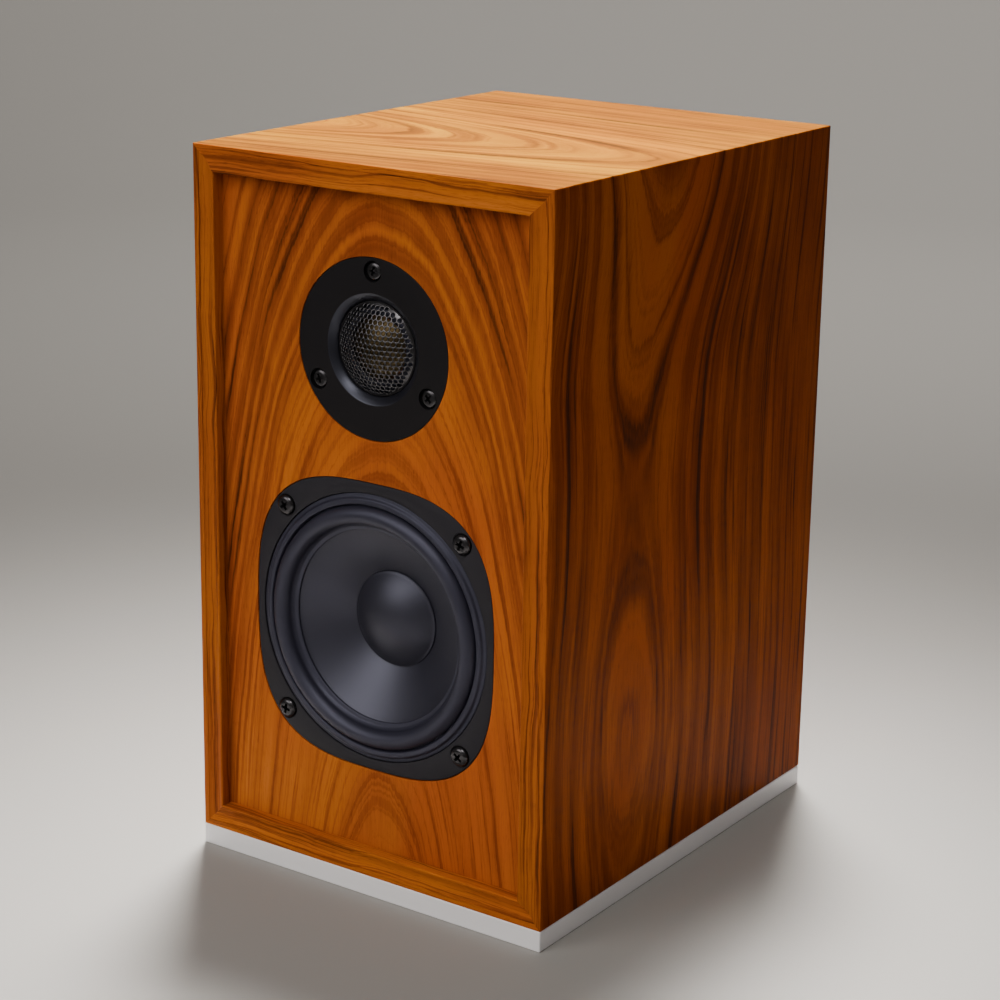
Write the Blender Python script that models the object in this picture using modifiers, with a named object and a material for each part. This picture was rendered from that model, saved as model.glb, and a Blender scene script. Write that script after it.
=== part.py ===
"""Two-way bookshelf loudspeaker with a framed, recessed baffle on a metal base plate.

Frame: origin at the centre of the base plate's underside, +Z up, the front faces -Y.
A driver's own shapes are turned about local Z, which points into the cabinet (+Y).
"""

import math

import bmesh
import bpy
from mathutils import Matrix

# Driving dimensions, in metres
gap = 0.0003  # running gap between pieces that touch
cabinet_width = 0.178
cabinet_depth = 0.216
cabinet_height = 0.300
wall = 0.011
plate_thickness = 0.009

frame_width = 0.0112  # moulding, across its face
frame_depth = 0.012
frame_flat = 0.003  # outer flat band of the moulding
frame_scoop = 0.0011  # depth of its hollow
frame_lip = 0.0006  # how far its inner lip stands proud

baffle_setback = 0.005
baffle_thickness = 0.018
rear_setback = 0.002
rear_thickness = 0.015

woofer_height = 0.1172
woofer_frame_half = (0.06075, 0.062)
woofer_frame_power = 3.0
woofer_frame_thickness = 0.004
woofer_screw_offset = 0.045
surround_radius = 0.0575

tweeter_height = 0.2346
tweeter_radius = 0.03725
tweeter_screw_circle = 0.0317
mesh_radius = 0.0192

port_height = 0.235
port_bore = 0.019
port_length = 0.095

terminal_height = 0.058
terminal_half = (0.042, 0.027)
post_spacing = 0.019
brace_height = 0.187

# Facets round a circle: large, medium and small turned pieces
large = 32
medium = 20
small = 10

front = -cabinet_depth / 2
back = cabinet_depth / 2
floor = plate_thickness + gap
top = floor + cabinet_height
middle = (floor + top) / 2
baffle_front = front + baffle_setback
baffle_back = baffle_front + baffle_thickness
rear_face = back - rear_setback
rear_inner = rear_face - rear_thickness

into_cabinet = Matrix.Rotation(-math.pi / 2, 4, "X")  # turns local Z to +Y


def clear_scene():
    for obj in list(bpy.data.objects):
        bpy.data.objects.remove(obj, do_unlink=True)


def new_collection(name):
    collection = bpy.data.collections.new(name)
    bpy.context.scene.collection.children.link(collection)
    return collection


def material(name, colour, roughness, metallic=0.0):
    made = bpy.data.materials.new(name)
    made.use_nodes = True
    shader = made.node_tree.nodes["Principled BSDF"]
    shader.inputs["Base Color"].default_value = (*colour, 1.0)
    shader.inputs["Roughness"].default_value = roughness
    shader.inputs["Metallic"].default_value = metallic
    return made


def put(name, mesh, finish, matrix=None, parent=None):
    """Makes the mesh an object of the speaker, at a place given in the world."""
    obj = bpy.data.objects.new(name, mesh)
    speaker.objects.link(obj)
    if finish and not mesh.materials:
        mesh.materials.append(finish)
    obj.matrix_world = matrix or Matrix.Identity(4)
    if parent:
        obj.parent = parent
        obj.matrix_parent_inverse = parent.matrix_world.inverted()
    return obj


def put_cutter(name, mesh, matrix=None):
    obj = bpy.data.objects.new(name, mesh)
    cutters.objects.link(obj)
    obj.matrix_world = matrix or Matrix.Identity(4)
    obj.hide_render = True
    obj.display_type = "WIRE"
    return obj


def cut(obj, *tools):
    for tool in tools:
        boolean = obj.modifiers.new("cut_" + tool.name, "BOOLEAN")
        boolean.operation = "DIFFERENCE"
        boolean.object = tool


def soften(obj, width, segments=1):
    bevel = obj.modifiers.new("edges", "BEVEL")
    bevel.width = width
    bevel.segments = segments
    bevel.limit_method = "ANGLE"


def joint_empty(name, place):
    empty = bpy.data.objects.new(name, None)
    speaker.objects.link(empty)
    empty.empty_display_size = 0.01
    empty.matrix_world = Matrix.Translation(place)
    return empty


def box_mesh(name, size):
    mesh = bpy.data.meshes.new(name)
    shape = bmesh.new()
    bmesh.ops.create_cube(shape, size=1.0)
    bmesh.ops.scale(shape, vec=size, verts=shape.verts)
    shape.to_mesh(mesh)
    shape.free()
    return mesh


def cylinder_mesh(name, radius, depth, segments=large):
    mesh = bpy.data.meshes.new(name)
    shape = bmesh.new()
    bmesh.ops.create_cone(
        shape, cap_ends=True, segments=segments, radius1=radius, radius2=radius, depth=depth
    )
    shape.to_mesh(mesh)
    shape.free()
    return mesh


def turned_mesh(name, profile, steps=medium):
    """Turns a profile of (radius, height) points about Z. A profile that starts and ends on the axis
    stays open there, and any other is a closed ring."""
    area = sum(a[0] * b[1] - b[0] * a[1] for a, b in zip(profile, profile[1:] + profile[:1]))
    points = profile if area < 0 else profile[::-1]
    on_axis = points[0][0] == 0
    edges = [(i, i + 1) for i in range(len(points) - 1)]
    if not on_axis:
        edges.append((len(points) - 1, 0))
    mesh = bpy.data.meshes.new(name)
    mesh.from_pydata([(radius, 0, height) for radius, height in points], edges, [])
    obj = bpy.data.objects.new(name, mesh)
    bpy.context.scene.collection.objects.link(obj)
    screw = obj.modifiers.new("turn", "SCREW")
    screw.steps = steps
    screw.render_steps = steps
    screw.use_merge_vertices = True
    screw.merge_threshold = 0.00001
    return evaluated_mesh(obj, name)


def outline_mesh(name, points, thickness):
    """A flat outline, given by its points, with its thickness centred on local z = 0."""
    curve = bpy.data.curves.new(name, "CURVE")
    curve.dimensions = "2D"
    curve.fill_mode = "BOTH"
    curve.extrude = thickness / 2
    spline = curve.splines.new("POLY")
    spline.points.add(len(points) - 1)
    for point, (x, y) in zip(spline.points, points):
        point.co = (x, y, 0, 1)
    spline.use_cyclic_u = True
    obj = bpy.data.objects.new(name, curve)
    bpy.context.scene.collection.objects.link(obj)
    return evaluated_mesh(obj, name)


def evaluated_mesh(obj, name):
    """Turns an object with its modifiers into one welded mesh and removes the object."""
    graph = bpy.context.evaluated_depsgraph_get()
    graph.update()
    mesh = bpy.data.meshes.new_from_object(obj.evaluated_get(graph))
    mesh.name = name
    bpy.data.objects.remove(obj, do_unlink=True)
    shape = bmesh.new()
    shape.from_mesh(mesh)
    bmesh.ops.remove_doubles(shape, verts=shape.verts, dist=0.000005)
    bmesh.ops.recalc_face_normals(shape, faces=shape.faces)
    shape.to_mesh(mesh)
    shape.free()
    mesh.shade_smooth()
    mesh.set_sharp_from_angle(angle=math.radians(30))
    return mesh


def superellipse(half_width, half_height, power, count):
    """|x / a|^n + |y / b|^n = 1, at equal steps of the angle that drives it."""
    points = []
    for i in range(count):
        angle = 2 * math.pi * i / count
        x = math.copysign(abs(math.cos(angle)) ** (2 / power), math.cos(angle))
        y = math.copysign(abs(math.sin(angle)) ** (2 / power), math.sin(angle))
        points.append((half_width * x, half_height * y))
    return points


def rounded_rectangle(half_width, half_height, radius, arc_steps=5):
    points = []
    for corner in range(4):
        centre_x = (half_width - radius) * (1 if corner in (0, 3) else -1)
        centre_y = (half_height - radius) * (1 if corner in (0, 1) else -1)
        for i in range(arc_steps + 1):
            angle = math.pi / 2 * (corner + i / arc_steps)
            points.append((centre_x + radius * math.cos(angle), centre_y + radius * math.sin(angle)))
    return points


def at(x, depth, height):
    """A turned piece's place: on the axis through (x, height), its local z measured from y = depth."""
    return Matrix.Translation((x, depth, height)) @ into_cabinet


def mitred_bar(name, outline, half_length):
    """A bar whose section is the outline, with x running inwards and both ends cut at 45 degrees."""
    mesh = outline_mesh(name, outline, 2 * half_length)
    for vertex in mesh.vertices:
        end = half_length - vertex.co.x - 2 * gap / 3
        vertex.co.z = math.copysign(end, vertex.co.z)
    return mesh


def ring_of_four(names, outline, outer_front, finish):
    """Four mitred bars round the front outline: bottom, left, top, right."""
    upright = Matrix(((0, 0, 1, 0), (0, -1, 0, 0), (1, 0, 0, 0), (0, 0, 0, 1)))
    bars = []
    for quarter, name in enumerate(names):
        is_upright = quarter % 2 == 1
        half_length = (cabinet_height if is_upright else cabinet_width) / 2
        reach = (cabinet_width if is_upright else cabinet_height) / 2
        turn = Matrix.Rotation(quarter * math.pi / 2, 4, "Y")
        place = Matrix.Translation((0, outer_front, middle)) @ turn
        place = place @ Matrix.Translation((0, 0, -reach)) @ upright
        bars.append(put(name, mitred_bar(name, outline, half_length), finish, place))
    return bars


def moulding_outline():
    """Outer flat, a hollow that dips and climbs to the inner lip, and a square drop behind it."""
    scoop_end = frame_width - 0.0009
    points = [(0, -frame_depth), (0, -0.0004), (0.0004, 0), (frame_flat, 0)]
    steps = 7
    for i in range(1, steps + 1):
        t = i / steps
        rise = frame_lip * t * t * (3 - 2 * t)
        points.append((frame_flat + (scoop_end - frame_flat) * t, rise - frame_scoop * math.sin(math.pi * t)))
    points += [(frame_width - 0.0002, frame_lip - 0.0002), (frame_width, frame_lip - 0.0007)]
    points.append((frame_width, -frame_depth))
    return points[::-1]


def make_carcass():
    panel_depth = cabinet_depth - frame_depth - gap
    outline = [(0, 0), (0, -panel_depth), (wall, -panel_depth), (wall, 0)]
    names = ["cabinet_bottom", "cabinet_side_left", "cabinet_top", "cabinet_side_right"]
    panels = ring_of_four(names, outline, front + frame_depth + gap, veneer)
    names = ["frame_rail_bottom", "frame_stile_left", "frame_rail_top", "frame_stile_right"]
    ring_of_four(names, moulding_outline(), front, moulding_wood)
    return panels[0]


def make_baffle():
    inner = (cabinet_width - 2 * frame_width - 2 * gap, baffle_thickness, cabinet_height - 2 * frame_width - 2 * gap)
    centre = (0, (baffle_front + baffle_back) / 2, middle)
    baffle = put("front_baffle", box_mesh("front_baffle", inner), veneer, Matrix.Translation(centre))
    tools = []
    rebate = 0.0058
    half = [side + gap for side in woofer_frame_half]
    seat = outline_mesh("woofer_seat", superellipse(*half, woofer_frame_power, 48), 2 * rebate)
    tools.append(put_cutter("woofer_seat", seat, at(0, baffle_front, woofer_height)))
    hole = cylinder_mesh("woofer_hole", 0.0526, 0.05)
    tools.append(put_cutter("woofer_hole", hole, at(0, baffle_front, woofer_height)))
    seat = cylinder_mesh("tweeter_seat", tweeter_radius + gap, 2 * 0.0054)
    tools.append(put_cutter("tweeter_seat", seat, at(0, baffle_front, tweeter_height)))
    hole = cylinder_mesh("tweeter_hole", 0.0272, 0.05, medium)
    tools.append(put_cutter("tweeter_hole", hole, at(0, baffle_front, tweeter_height)))
    pilot = cylinder_mesh("woofer_pilot", 0.0023, 0.05, small)
    for i, (x, z) in enumerate(woofer_screw_places()):
        tools.append(put_cutter(f"woofer_pilot_{i + 1}", pilot, at(x, baffle_front, z)))
    pilot = cylinder_mesh("tweeter_pilot", 0.0020, 0.05, small)
    for i, (x, z) in enumerate(tweeter_screw_places()):
        tools.append(put_cutter(f"tweeter_pilot_{i + 1}", pilot, at(x, baffle_front, z)))
    cut(baffle, *tools)


def woofer_screw_places():
    o = woofer_screw_offset
    return [(sx * o, woofer_height + sz * o) for sx, sz in ((1, 1), (-1, 1), (-1, -1), (1, -1))]


def tweeter_screw_places():
    places = []
    for degrees in (90, 210, 330):
        angle = math.radians(degrees)
        x = tweeter_screw_circle * math.cos(angle)
        places.append((x, tweeter_height + tweeter_screw_circle * math.sin(angle)))
    return places


def screw_mesh(name, head_radius, head_height, shank_radius, length, countersunk=False):
    """A cross-recess screw: the head's face is at z = 0 and the shank runs to z = length."""
    crown = 0.0 if countersunk else 0.35 * head_height
    profile = [(0, 0), (head_radius, crown)]
    if not countersunk:
        profile.append((head_radius, head_height))
    profile += [(shank_radius, head_height), (shank_radius, length), (0, length)]
    head = bpy.data.objects.new(name, turned_mesh(name, profile, small))
    bpy.context.scene.collection.objects.link(head)
    wing = box_mesh(name + "_recess", (1.1 * head_radius, 0.22 * head_radius, 1.1 * head_height))
    bars = [put_cutter(f"{name}_recess_{i}", wing, Matrix.Rotation(i * math.pi / 2, 4, "Z")) for i in (0, 1)]
    cut(head, *bars)
    return evaluated_mesh(head, name)


def make_screws(stem, mesh, places, depth, finish):
    for i, (x, z) in enumerate(places):
        put(f"{stem}_{i + 1}", mesh, finish, at(x, depth, z))


def make_base(bottom_panel):
    size = (cabinet_width, cabinet_depth, plate_thickness)
    place = Matrix.Translation((0, 0, plate_thickness / 2))
    plate = put("base_plate", box_mesh("base_plate", size), anodised, place)
    soften(plate, 0.0004)
    head_height = 0.0024
    mesh = screw_mesh("base_screw", 0.004, head_height, 0.002, 0.0165, countersunk=True)
    cone = [(0, -0.001), (0.0048, -0.001), (0.0048, gap), (0.0024, gap + head_height + 0.0001)]
    sink = turned_mesh("base_sink", cone + [(0.0024, 0.03), (0, 0.03)], small)
    pilot = cylinder_mesh("base_pilot", 0.0024, 0.06, small)
    places = [(sx * 0.060, sy * 0.075) for sx, sy in ((1, -1), (-1, -1), (-1, 1), (1, 1))]
    for i, (x, y) in enumerate(places):
        put(f"base_plate_screw_{i + 1}", mesh, bright_steel, Matrix.Translation((x, y, gap)))
        cut(plate, put_cutter(f"base_sink_{i + 1}", sink, Matrix.Translation((x, y, 0))))
        cut(bottom_panel, put_cutter(f"base_pilot_{i + 1}", pilot, Matrix.Translation((x, y, 0.02))))


def make_rear():
    size = (cabinet_width - 2 * wall - 2 * gap, rear_thickness, cabinet_height - 2 * wall - 2 * gap)
    place = Matrix.Translation((0, rear_face - rear_thickness / 2, middle))
    panel = put("rear_panel", box_mesh("rear_panel", size), veneer, place)
    tools = [
        put_cutter("port_hole", cylinder_mesh("port_hole", 0.0214, 0.05, medium), at(0, rear_face, port_height)),
        put_cutter(
            "terminal_hole",
            box_mesh("terminal_hole", (0.058, 0.05, 0.032)),
            Matrix.Translation((0, rear_face, terminal_height)),
        ),
    ]
    pilot = cylinder_mesh("terminal_pilot", 0.0019, 0.02, small)
    for i, (x, z) in enumerate(terminal_screw_places()):
        tools.append(put_cutter(f"terminal_pilot_{i + 1}", pilot, at(x, rear_face, z)))
    cut(panel, *tools)


def make_port():
    """A flared tube: local z = 0 is the rear face, the tube runs to -port_length inside."""
    flange = 0.0026
    outer = port_bore + 0.002
    profile = [(outer, gap), (0.029, gap), (0.029, gap + flange - 0.0008), (0.0282, gap + flange)]
    steps = 4
    for i in range(steps + 1):
        angle = math.pi / 2 * i / steps
        radius = port_bore + 0.006 * (1 - math.sin(angle))
        profile.append((radius, gap + flange - 0.006 * (1 - math.cos(angle))))
    profile += [(port_bore, -port_length), (outer, -port_length)]
    mesh = turned_mesh("port_tube", profile)
    put("port_tube", mesh, black_plastic, at(0, rear_face, port_height))


def terminal_screw_places():
    x = terminal_half[0] - 0.007
    z = terminal_half[1] - 0.007
    return [(sx * x, terminal_height + sz * z) for sx, sz in ((1, 1), (-1, 1), (-1, -1), (1, -1))]


def make_terminals():
    thickness = 0.003
    outline = rounded_rectangle(*terminal_half, 0.006)
    centre = rear_face + gap + thickness / 2
    mesh = outline_mesh("terminal_plate", outline, thickness)
    plate = put("terminal_plate", mesh, black_plastic, at(0, centre, terminal_height))
    outer = rear_face + gap + thickness
    through = cylinder_mesh("post_hole", 0.0034, 0.02, small)
    screw_hole = cylinder_mesh("terminal_screw_hole", 0.0019, 0.02, small)
    tools = []
    for side, tone, plastic in ((-1, "black", black_cap), (1, "red", red_cap)):
        x = side * post_spacing / 2
        make_post(tone, x, outer, plastic)
        tools.append(put_cutter(f"post_hole_{tone}", through, at(x, outer, terminal_height)))
    for i, (x, z) in enumerate(terminal_screw_places()):
        tools.append(put_cutter(f"terminal_screw_hole_{i + 1}", screw_hole, at(x, outer, z)))
    cut(plate, *tools)
    turned_away = Matrix.Rotation(math.pi, 4, "X")
    mesh = screw_mesh("terminal_screw", 0.0034, 0.0019, 0.0015, 0.0125)
    for i, (x, z) in enumerate(terminal_screw_places()):
        place = at(x, outer + gap + 0.0019, z) @ turned_away
        put(f"terminal_screw_{i + 1}", mesh, black_steel, place)


def make_post(tone, x, outer, plastic):
    """A binding post: local z = 0 is the terminal plate's outer face, +z points out of the cabinet."""
    place = at(x, outer, terminal_height)
    stud = [(0, -0.013), (0.003, -0.013), (0.003, -0.0065), (0.0055, -0.0065), (0.0055, -0.0034)]
    stud += [(0.003, -0.0034), (0.003, gap), (0.0065, gap), (0.0065, 0.0023), (0.003, 0.0023)]
    stud += [(0.003, 0.018), (0.0021, 0.018), (0.0021, 0.004), (0, 0.004)]
    put(f"binding_post_stud_{tone}", turned_mesh("stud_" + tone, stud, small), gilt, place)
    slide = joint_empty(f"{tone}_post_slide", place.translation)
    washer = [(0.0034, 0.0026), (0.006, 0.0026), (0.006, 0.0036), (0.0034, 0.0036)]
    put(f"binding_post_washer_{tone}", turned_mesh("washer_" + tone, washer, small), gilt, place, slide)
    turn = joint_empty(f"{tone}_post_turn", place.translation)
    turn.parent = slide
    turn.matrix_parent_inverse = slide.matrix_world.inverted()
    cap = [(0.0035, 0.0039), (0.0066, 0.0039), (0.007, 0.0045), (0.007, 0.0194), (0.0062, 0.0204)]
    cap += [(0.0023, 0.0204), (0.0023, 0.0186), (0.0035, 0.0186)]
    put(f"binding_post_cap_{tone}", turned_mesh("cap_" + tone, cap, small), plastic, place, turn)


def make_brace():
    depth = rear_inner - baffle_back - 2 * gap
    width = cabinet_width - 2 * wall - 2 * gap
    place = Matrix.Translation((0, (rear_inner + baffle_back) / 2, brace_height))
    brace = put("internal_brace", box_mesh("internal_brace", (width, depth, 0.010)), raw_board, place)
    window = outline_mesh("brace_window", rounded_rectangle(0.055, 0.062, 0.02, 4), 0.03)
    cut(brace, put_cutter("brace_window", window, place))


def make_foam():
    size = (0.148, 0.150, 0.014)
    place = Matrix.Translation((0, 0.006, top - wall - gap - size[2] / 2))
    foam = put("damping_foam", box_mesh("damping_foam", size), foam_grey, place)
    soften(foam, 0.003)


def make_woofer():
    """Local z = 0 is the baffle's front face. Positive z is into the cabinet."""
    place = at(0, baffle_front, woofer_height)
    make_basket(place)
    ring = [(0.0532, 0.0043), (0.0585, 0.0043), (0.0585, 0.0055), (0.0532, 0.0055)]
    put("woofer_gasket", turned_mesh("woofer_gasket", ring), black_rubber, place)
    mesh = screw_mesh("woofer_screw", 0.0043, 0.0022, 0.0020, 0.0185)
    make_screws("woofer_screw", mesh, woofer_screw_places(), baffle_front - 0.0017, black_steel)

    moving = joint_empty("woofer_motion", place.translation)
    skin = 0.0007
    cone = [(0.0442, 0.0030), (0.0380, 0.0062), (0.0290, 0.0110), (0.0205, 0.0165), (0.0166, 0.0200)]
    back_side = [(radius - 0.0002, depth + skin) for radius, depth in cone[::-1]]
    mesh = turned_mesh("woofer_cone", cone + back_side, large)
    put("woofer_cone", mesh, cone_black, place, moving)
    put("woofer_dust_cap", cap_mesh("woofer_dust_cap", 0.0198, 0.0155, 0.0070, 0.0006), cone_black, place, moving)
    coil = [(0.0159, 0.0210), (0.0163, 0.0210), (0.0163, 0.0360), (0.0168, 0.0360)]
    coil += [(0.0168, 0.0450), (0.0159, 0.0450)]
    put("woofer_voice_coil", turned_mesh("woofer_voice_coil", coil), copper, place, moving)

    put("woofer_surround", turned_mesh("woofer_surround", surround_profile(), large), black_rubber, place)
    put("woofer_spider", turned_mesh("woofer_spider", spider_profile()), spider_cloth, place)

    ring = [(0.0174, 0.0380), (0.0400, 0.0380), (0.0400, 0.0430), (0.0174, 0.0430)]
    put("woofer_top_plate", turned_mesh("woofer_top_plate", ring), dark_steel, place)
    ring = [(0.0220, 0.0433), (0.0425, 0.0433), (0.0425, 0.0583), (0.0220, 0.0583)]
    put("woofer_magnet", turned_mesh("woofer_magnet", ring), ferrite, place)
    yoke = [(0.0060, 0.0375), (0.0153, 0.0375), (0.0153, 0.0586), (0.0400, 0.0586), (0.0400, 0.0636)]
    yoke += [(0.0060, 0.0636)]
    put("woofer_yoke", turned_mesh("woofer_yoke", yoke), dark_steel, place)


def make_basket(place):
    thickness = woofer_frame_thickness
    outline = superellipse(*woofer_frame_half, woofer_frame_power, 48)
    flange = outline_mesh("woofer_flange", outline, thickness)
    flange.transform(Matrix.Translation((0, 0, thickness / 2)))
    basket = put("woofer_basket", flange, cast_black, place)
    bucket = [(0.0500, 0.0025), (0.0500, 0.0080), (0.0405, 0.0276), (0.0362, 0.0276), (0.0362, 0.0347)]
    bucket += [(0.0300, 0.0347), (0.0300, 0.0377), (0.0440, 0.0377), (0.0440, 0.0300), (0.0520, 0.0090)]
    bucket += [(0.0520, 0.0025)]
    cone_wall = put_cutter("basket_bucket", turned_mesh("basket_bucket", bucket, large), place)
    throat = put_cutter("basket_throat", cylinder_mesh("basket_throat", 0.0502, 0.03), place)
    cut(basket, throat)
    join = basket.modifiers.new("bucket", "BOOLEAN")
    join.operation = "UNION"
    join.object = cone_wall
    mouth = [(0, -0.01), (surround_radius, -0.01), (surround_radius, 0.0016), (0.0505, 0.0016)]
    mouth += [(0.0505, 0.0060), (0, 0.0060)]
    cut(basket, put_cutter("basket_mouth", turned_mesh("basket_mouth", mouth, large), place))
    window = box_mesh("basket_window", (0.028, 0.120, 0.013))
    for i in range(3):
        turn = Matrix.Rotation(i * math.pi / 3, 4, "Z")
        move = Matrix.Translation((0, 0, 0.0185))
        cut(basket, put_cutter(f"basket_window_{i + 1}", window, place @ turn @ move))
    hole = cylinder_mesh("flange_hole", 0.0024, 0.02, small)
    seat = cylinder_mesh("flange_seat", 0.0047, 2 * 0.0008, small)
    for i, (x, z) in enumerate(woofer_screw_places()):
        cut(basket, put_cutter(f"flange_hole_{i + 1}", hole, at(x, baffle_front, z)))
        cut(basket, put_cutter(f"flange_seat_{i + 1}", seat, at(x, baffle_front, z)))


def surround_profile():
    """Outer lip with a raised bead, half roll, inner lip on the cone. Front face, then the back."""
    front_face = [(0.0572, 0.0005), (0.0556, 0.0003), (0.0549, -0.0008), (0.0530, -0.0008), (0.0521, 0.0002)]
    steps = 4
    for i in range(steps + 1):
        angle = math.pi * i / steps
        front_face.append((0.0480 + 0.0040 * math.cos(angle), 0.0012 - 0.0042 * math.sin(angle)))
    front_face += [(0.0412, 0.0030)]
    back_face = [(0.0415, 0.0038), (0.0446, 0.0022)]
    for i in range(steps + 1):
        angle = math.pi * (1 - i / steps)
        back_face.append((0.0480 + 0.0033 * math.cos(angle), 0.0013 - 0.0033 * math.sin(angle)))
    back_face += [(0.0524, 0.0013), (0.0572, 0.0013)]
    return front_face + back_face


def spider_profile():
    """A corrugated disc: ridges and valleys take turns with the radius, between two flat rims."""
    inner = 0.0166
    outer = 0.0398
    rim_depth = 0.0267
    skin = 0.0006
    steps = 11
    front_face = []
    for i in range(steps + 1):
        wave = 0.0009 * (-1) ** i if 0 < i < steps - 2 else 0.0
        front_face.append((inner + (outer - inner) * i / steps, rim_depth + wave))
    return front_face + [(radius, depth + skin) for radius, depth in front_face[::-1]]


def cap_mesh(name, rim_radius, rim_depth, height, skin, steps=medium, rings=4):
    """A thin spherical cap: its rim lies at rim_depth and its crown stands height in front of it."""
    ball = (rim_radius**2 + height**2) / (2 * height)
    half_angle = math.asin(rim_radius / ball)
    outside = []
    inside = []
    for i in range(rings + 1):
        angle = half_angle * i / rings
        for radius, points in ((ball, outside), (ball - skin, inside)):
            depth = rim_depth - height + ball - radius * math.cos(angle)
            points.append((radius * math.sin(angle) if i else 0, depth))
    return turned_mesh(name, outside + inside[::-1], steps)


def make_tweeter():
    """Local z = 0 is the baffle's front face. Positive z is into the cabinet."""
    place = at(0, baffle_front, tweeter_height)
    edge = 0.0003
    plate = [(0.0222, 0.0), (tweeter_radius - edge, 0.0), (tweeter_radius, edge), (tweeter_radius, 0.0040)]
    plate += [(0.0262, 0.0040), (0.0262, 0.0060), (0.0198, 0.0060), (0.0198, 0.0028), (0.0206, 0.0012)]
    faceplate = put("tweeter_faceplate", turned_mesh("tweeter_faceplate", plate, large + 4), plate_black, place)
    hole = cylinder_mesh("faceplate_hole", 0.0020, 0.03, small)
    seat = cylinder_mesh("faceplate_seat", 0.0043, 2 * 0.0022, small)
    for i, (x, z) in enumerate(tweeter_screw_places()):
        cut(faceplate, put_cutter(f"faceplate_hole_{i + 1}", hole, at(x, baffle_front, z)))
        cut(faceplate, put_cutter(f"faceplate_seat_{i + 1}", seat, at(x, baffle_front, z)))
    ring = [(0.0275, 0.0043), (0.0290, 0.0043), (0.0290, 0.0051), (0.0275, 0.0051)]
    put("tweeter_gasket", turned_mesh("tweeter_gasket", ring), black_rubber, place)
    mesh = screw_mesh("tweeter_screw", 0.0039, 0.0016, 0.0016, 0.0170)
    make_screws("tweeter_screw", mesh, tweeter_screw_places(), baffle_front + 0.0003, black_steel)
    grille = cap_mesh("tweeter_mesh", mesh_radius, 0.0030, 0.0068, 0.0005)
    put("tweeter_mesh", grille, mesh_black, place)

    moving = joint_empty("tweeter_motion", place.translation)
    put("tweeter_dome", cap_mesh("tweeter_dome", 0.0127, 0.0050, 0.0050, 0.0003), dome_metal, place, moving)
    coil = [(0.0124, 0.0053), (0.0127, 0.0053), (0.0127, 0.0066), (0.0130, 0.0066), (0.0130, 0.0090)]
    coil += [(0.0124, 0.0090)]
    put("tweeter_voice_coil", turned_mesh("tweeter_voice_coil", coil), copper, place, moving)
    ring = [(0.0134, 0.0046), (0.0152, 0.0036), (0.0170, 0.0046), (0.0194, 0.0050), (0.0194, 0.0054)]
    ring += [(0.0170, 0.0050), (0.0152, 0.0041), (0.0134, 0.0051)]
    put("tweeter_surround", turned_mesh("tweeter_surround", ring), black_rubber, place)

    ring = [(0.0134, 0.0063), (0.0250, 0.0063), (0.0250, 0.0093), (0.0134, 0.0093)]
    put("tweeter_top_plate", turned_mesh("tweeter_top_plate", ring), dark_steel, place)
    ring = [(0.0160, 0.0096), (0.0265, 0.0096), (0.0265, 0.0196), (0.0160, 0.0196)]
    put("tweeter_magnet", turned_mesh("tweeter_magnet", ring), ferrite, place)
    yoke = [(0.0030, 0.0060), (0.0120, 0.0060), (0.0120, 0.0199), (0.0250, 0.0199), (0.0250, 0.0239)]
    yoke += [(0.0030, 0.0239)]
    put("tweeter_yoke", turned_mesh("tweeter_yoke", yoke), dark_steel, place)


def make_crossover():
    board_top = floor + wall + gap + 0.005
    place = Matrix.Translation((0, 0.035, board_top - 0.0025))
    put("crossover_board", box_mesh("crossover_board", (0.110, 0.080, 0.005)), hardboard, place)
    stand = board_top + gap
    for name, x, y, outer, inner, height in (
        ("woofer_inductor", -0.030, 0.048, 0.018, 0.009, 0.018),
        ("tweeter_inductor", -0.034, 0.013, 0.012, 0.006, 0.012),
    ):
        coil = [(inner, 0), (outer, 0), (outer, height), (inner, height)]
        put(name, turned_mesh(name, coil), copper, Matrix.Translation((x, y, stand)))
    for name, x, radius, length in (
        ("capacitor_large", 0.016, 0.009, 0.040),
        ("capacitor_small", 0.040, 0.007, 0.030),
    ):
        edge = 0.001
        body = [(0, 0), (radius - edge, 0), (radius, edge), (radius, length - edge)]
        body += [(radius - edge, length), (0, length)]
        place = at(x, 0.035 - length / 2, stand + radius)
        put(name, turned_mesh(name, body, small), capacitor_film, place)


clear_scene()
speaker = new_collection("bookshelf_speaker")
cutters = new_collection("cutters")

veneer = material("rosewood_veneer", (0.36, 0.13, 0.03), 0.35)
moulding_wood = material("rosewood_moulding", (0.40, 0.15, 0.035), 0.35)
raw_board = material("birch_plywood", (0.55, 0.40, 0.24), 0.7)
anodised = material("anodised_aluminium", (0.60, 0.59, 0.60), 0.35, 1.0)
plate_black = material("faceplate_black", (0.008, 0.008, 0.009), 0.6)
cast_black = material("cast_frame_grey_black", (0.035, 0.035, 0.038), 0.55)
cone_black = material("cone_black", (0.02, 0.02, 0.025), 0.5)
black_rubber = material("black_rubber", (0.015, 0.015, 0.018), 0.45)
black_plastic = material("black_plastic", (0.012, 0.012, 0.012), 0.5)
black_steel = material("black_steel", (0.012, 0.012, 0.012), 0.3, 0.6)
bright_steel = material("bright_steel", (0.6, 0.6, 0.62), 0.3, 1.0)
dark_steel = material("dark_steel", (0.08, 0.08, 0.085), 0.45, 0.8)
mesh_black = material("mesh_black", (0.03, 0.03, 0.03), 0.3, 0.9)
dome_metal = material("dome_metal", (0.55, 0.47, 0.30), 0.3, 1.0)
copper = material("copper", (0.65, 0.28, 0.12), 0.35, 1.0)
ferrite = material("ferrite", (0.03, 0.03, 0.03), 0.6)
spider_cloth = material("spider_cloth", (0.55, 0.36, 0.12), 0.9)
gilt = material("gilt_brass", (0.80, 0.58, 0.22), 0.3, 1.0)
red_cap = material("red_cap", (0.45, 0.01, 0.01), 0.35)
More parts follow.
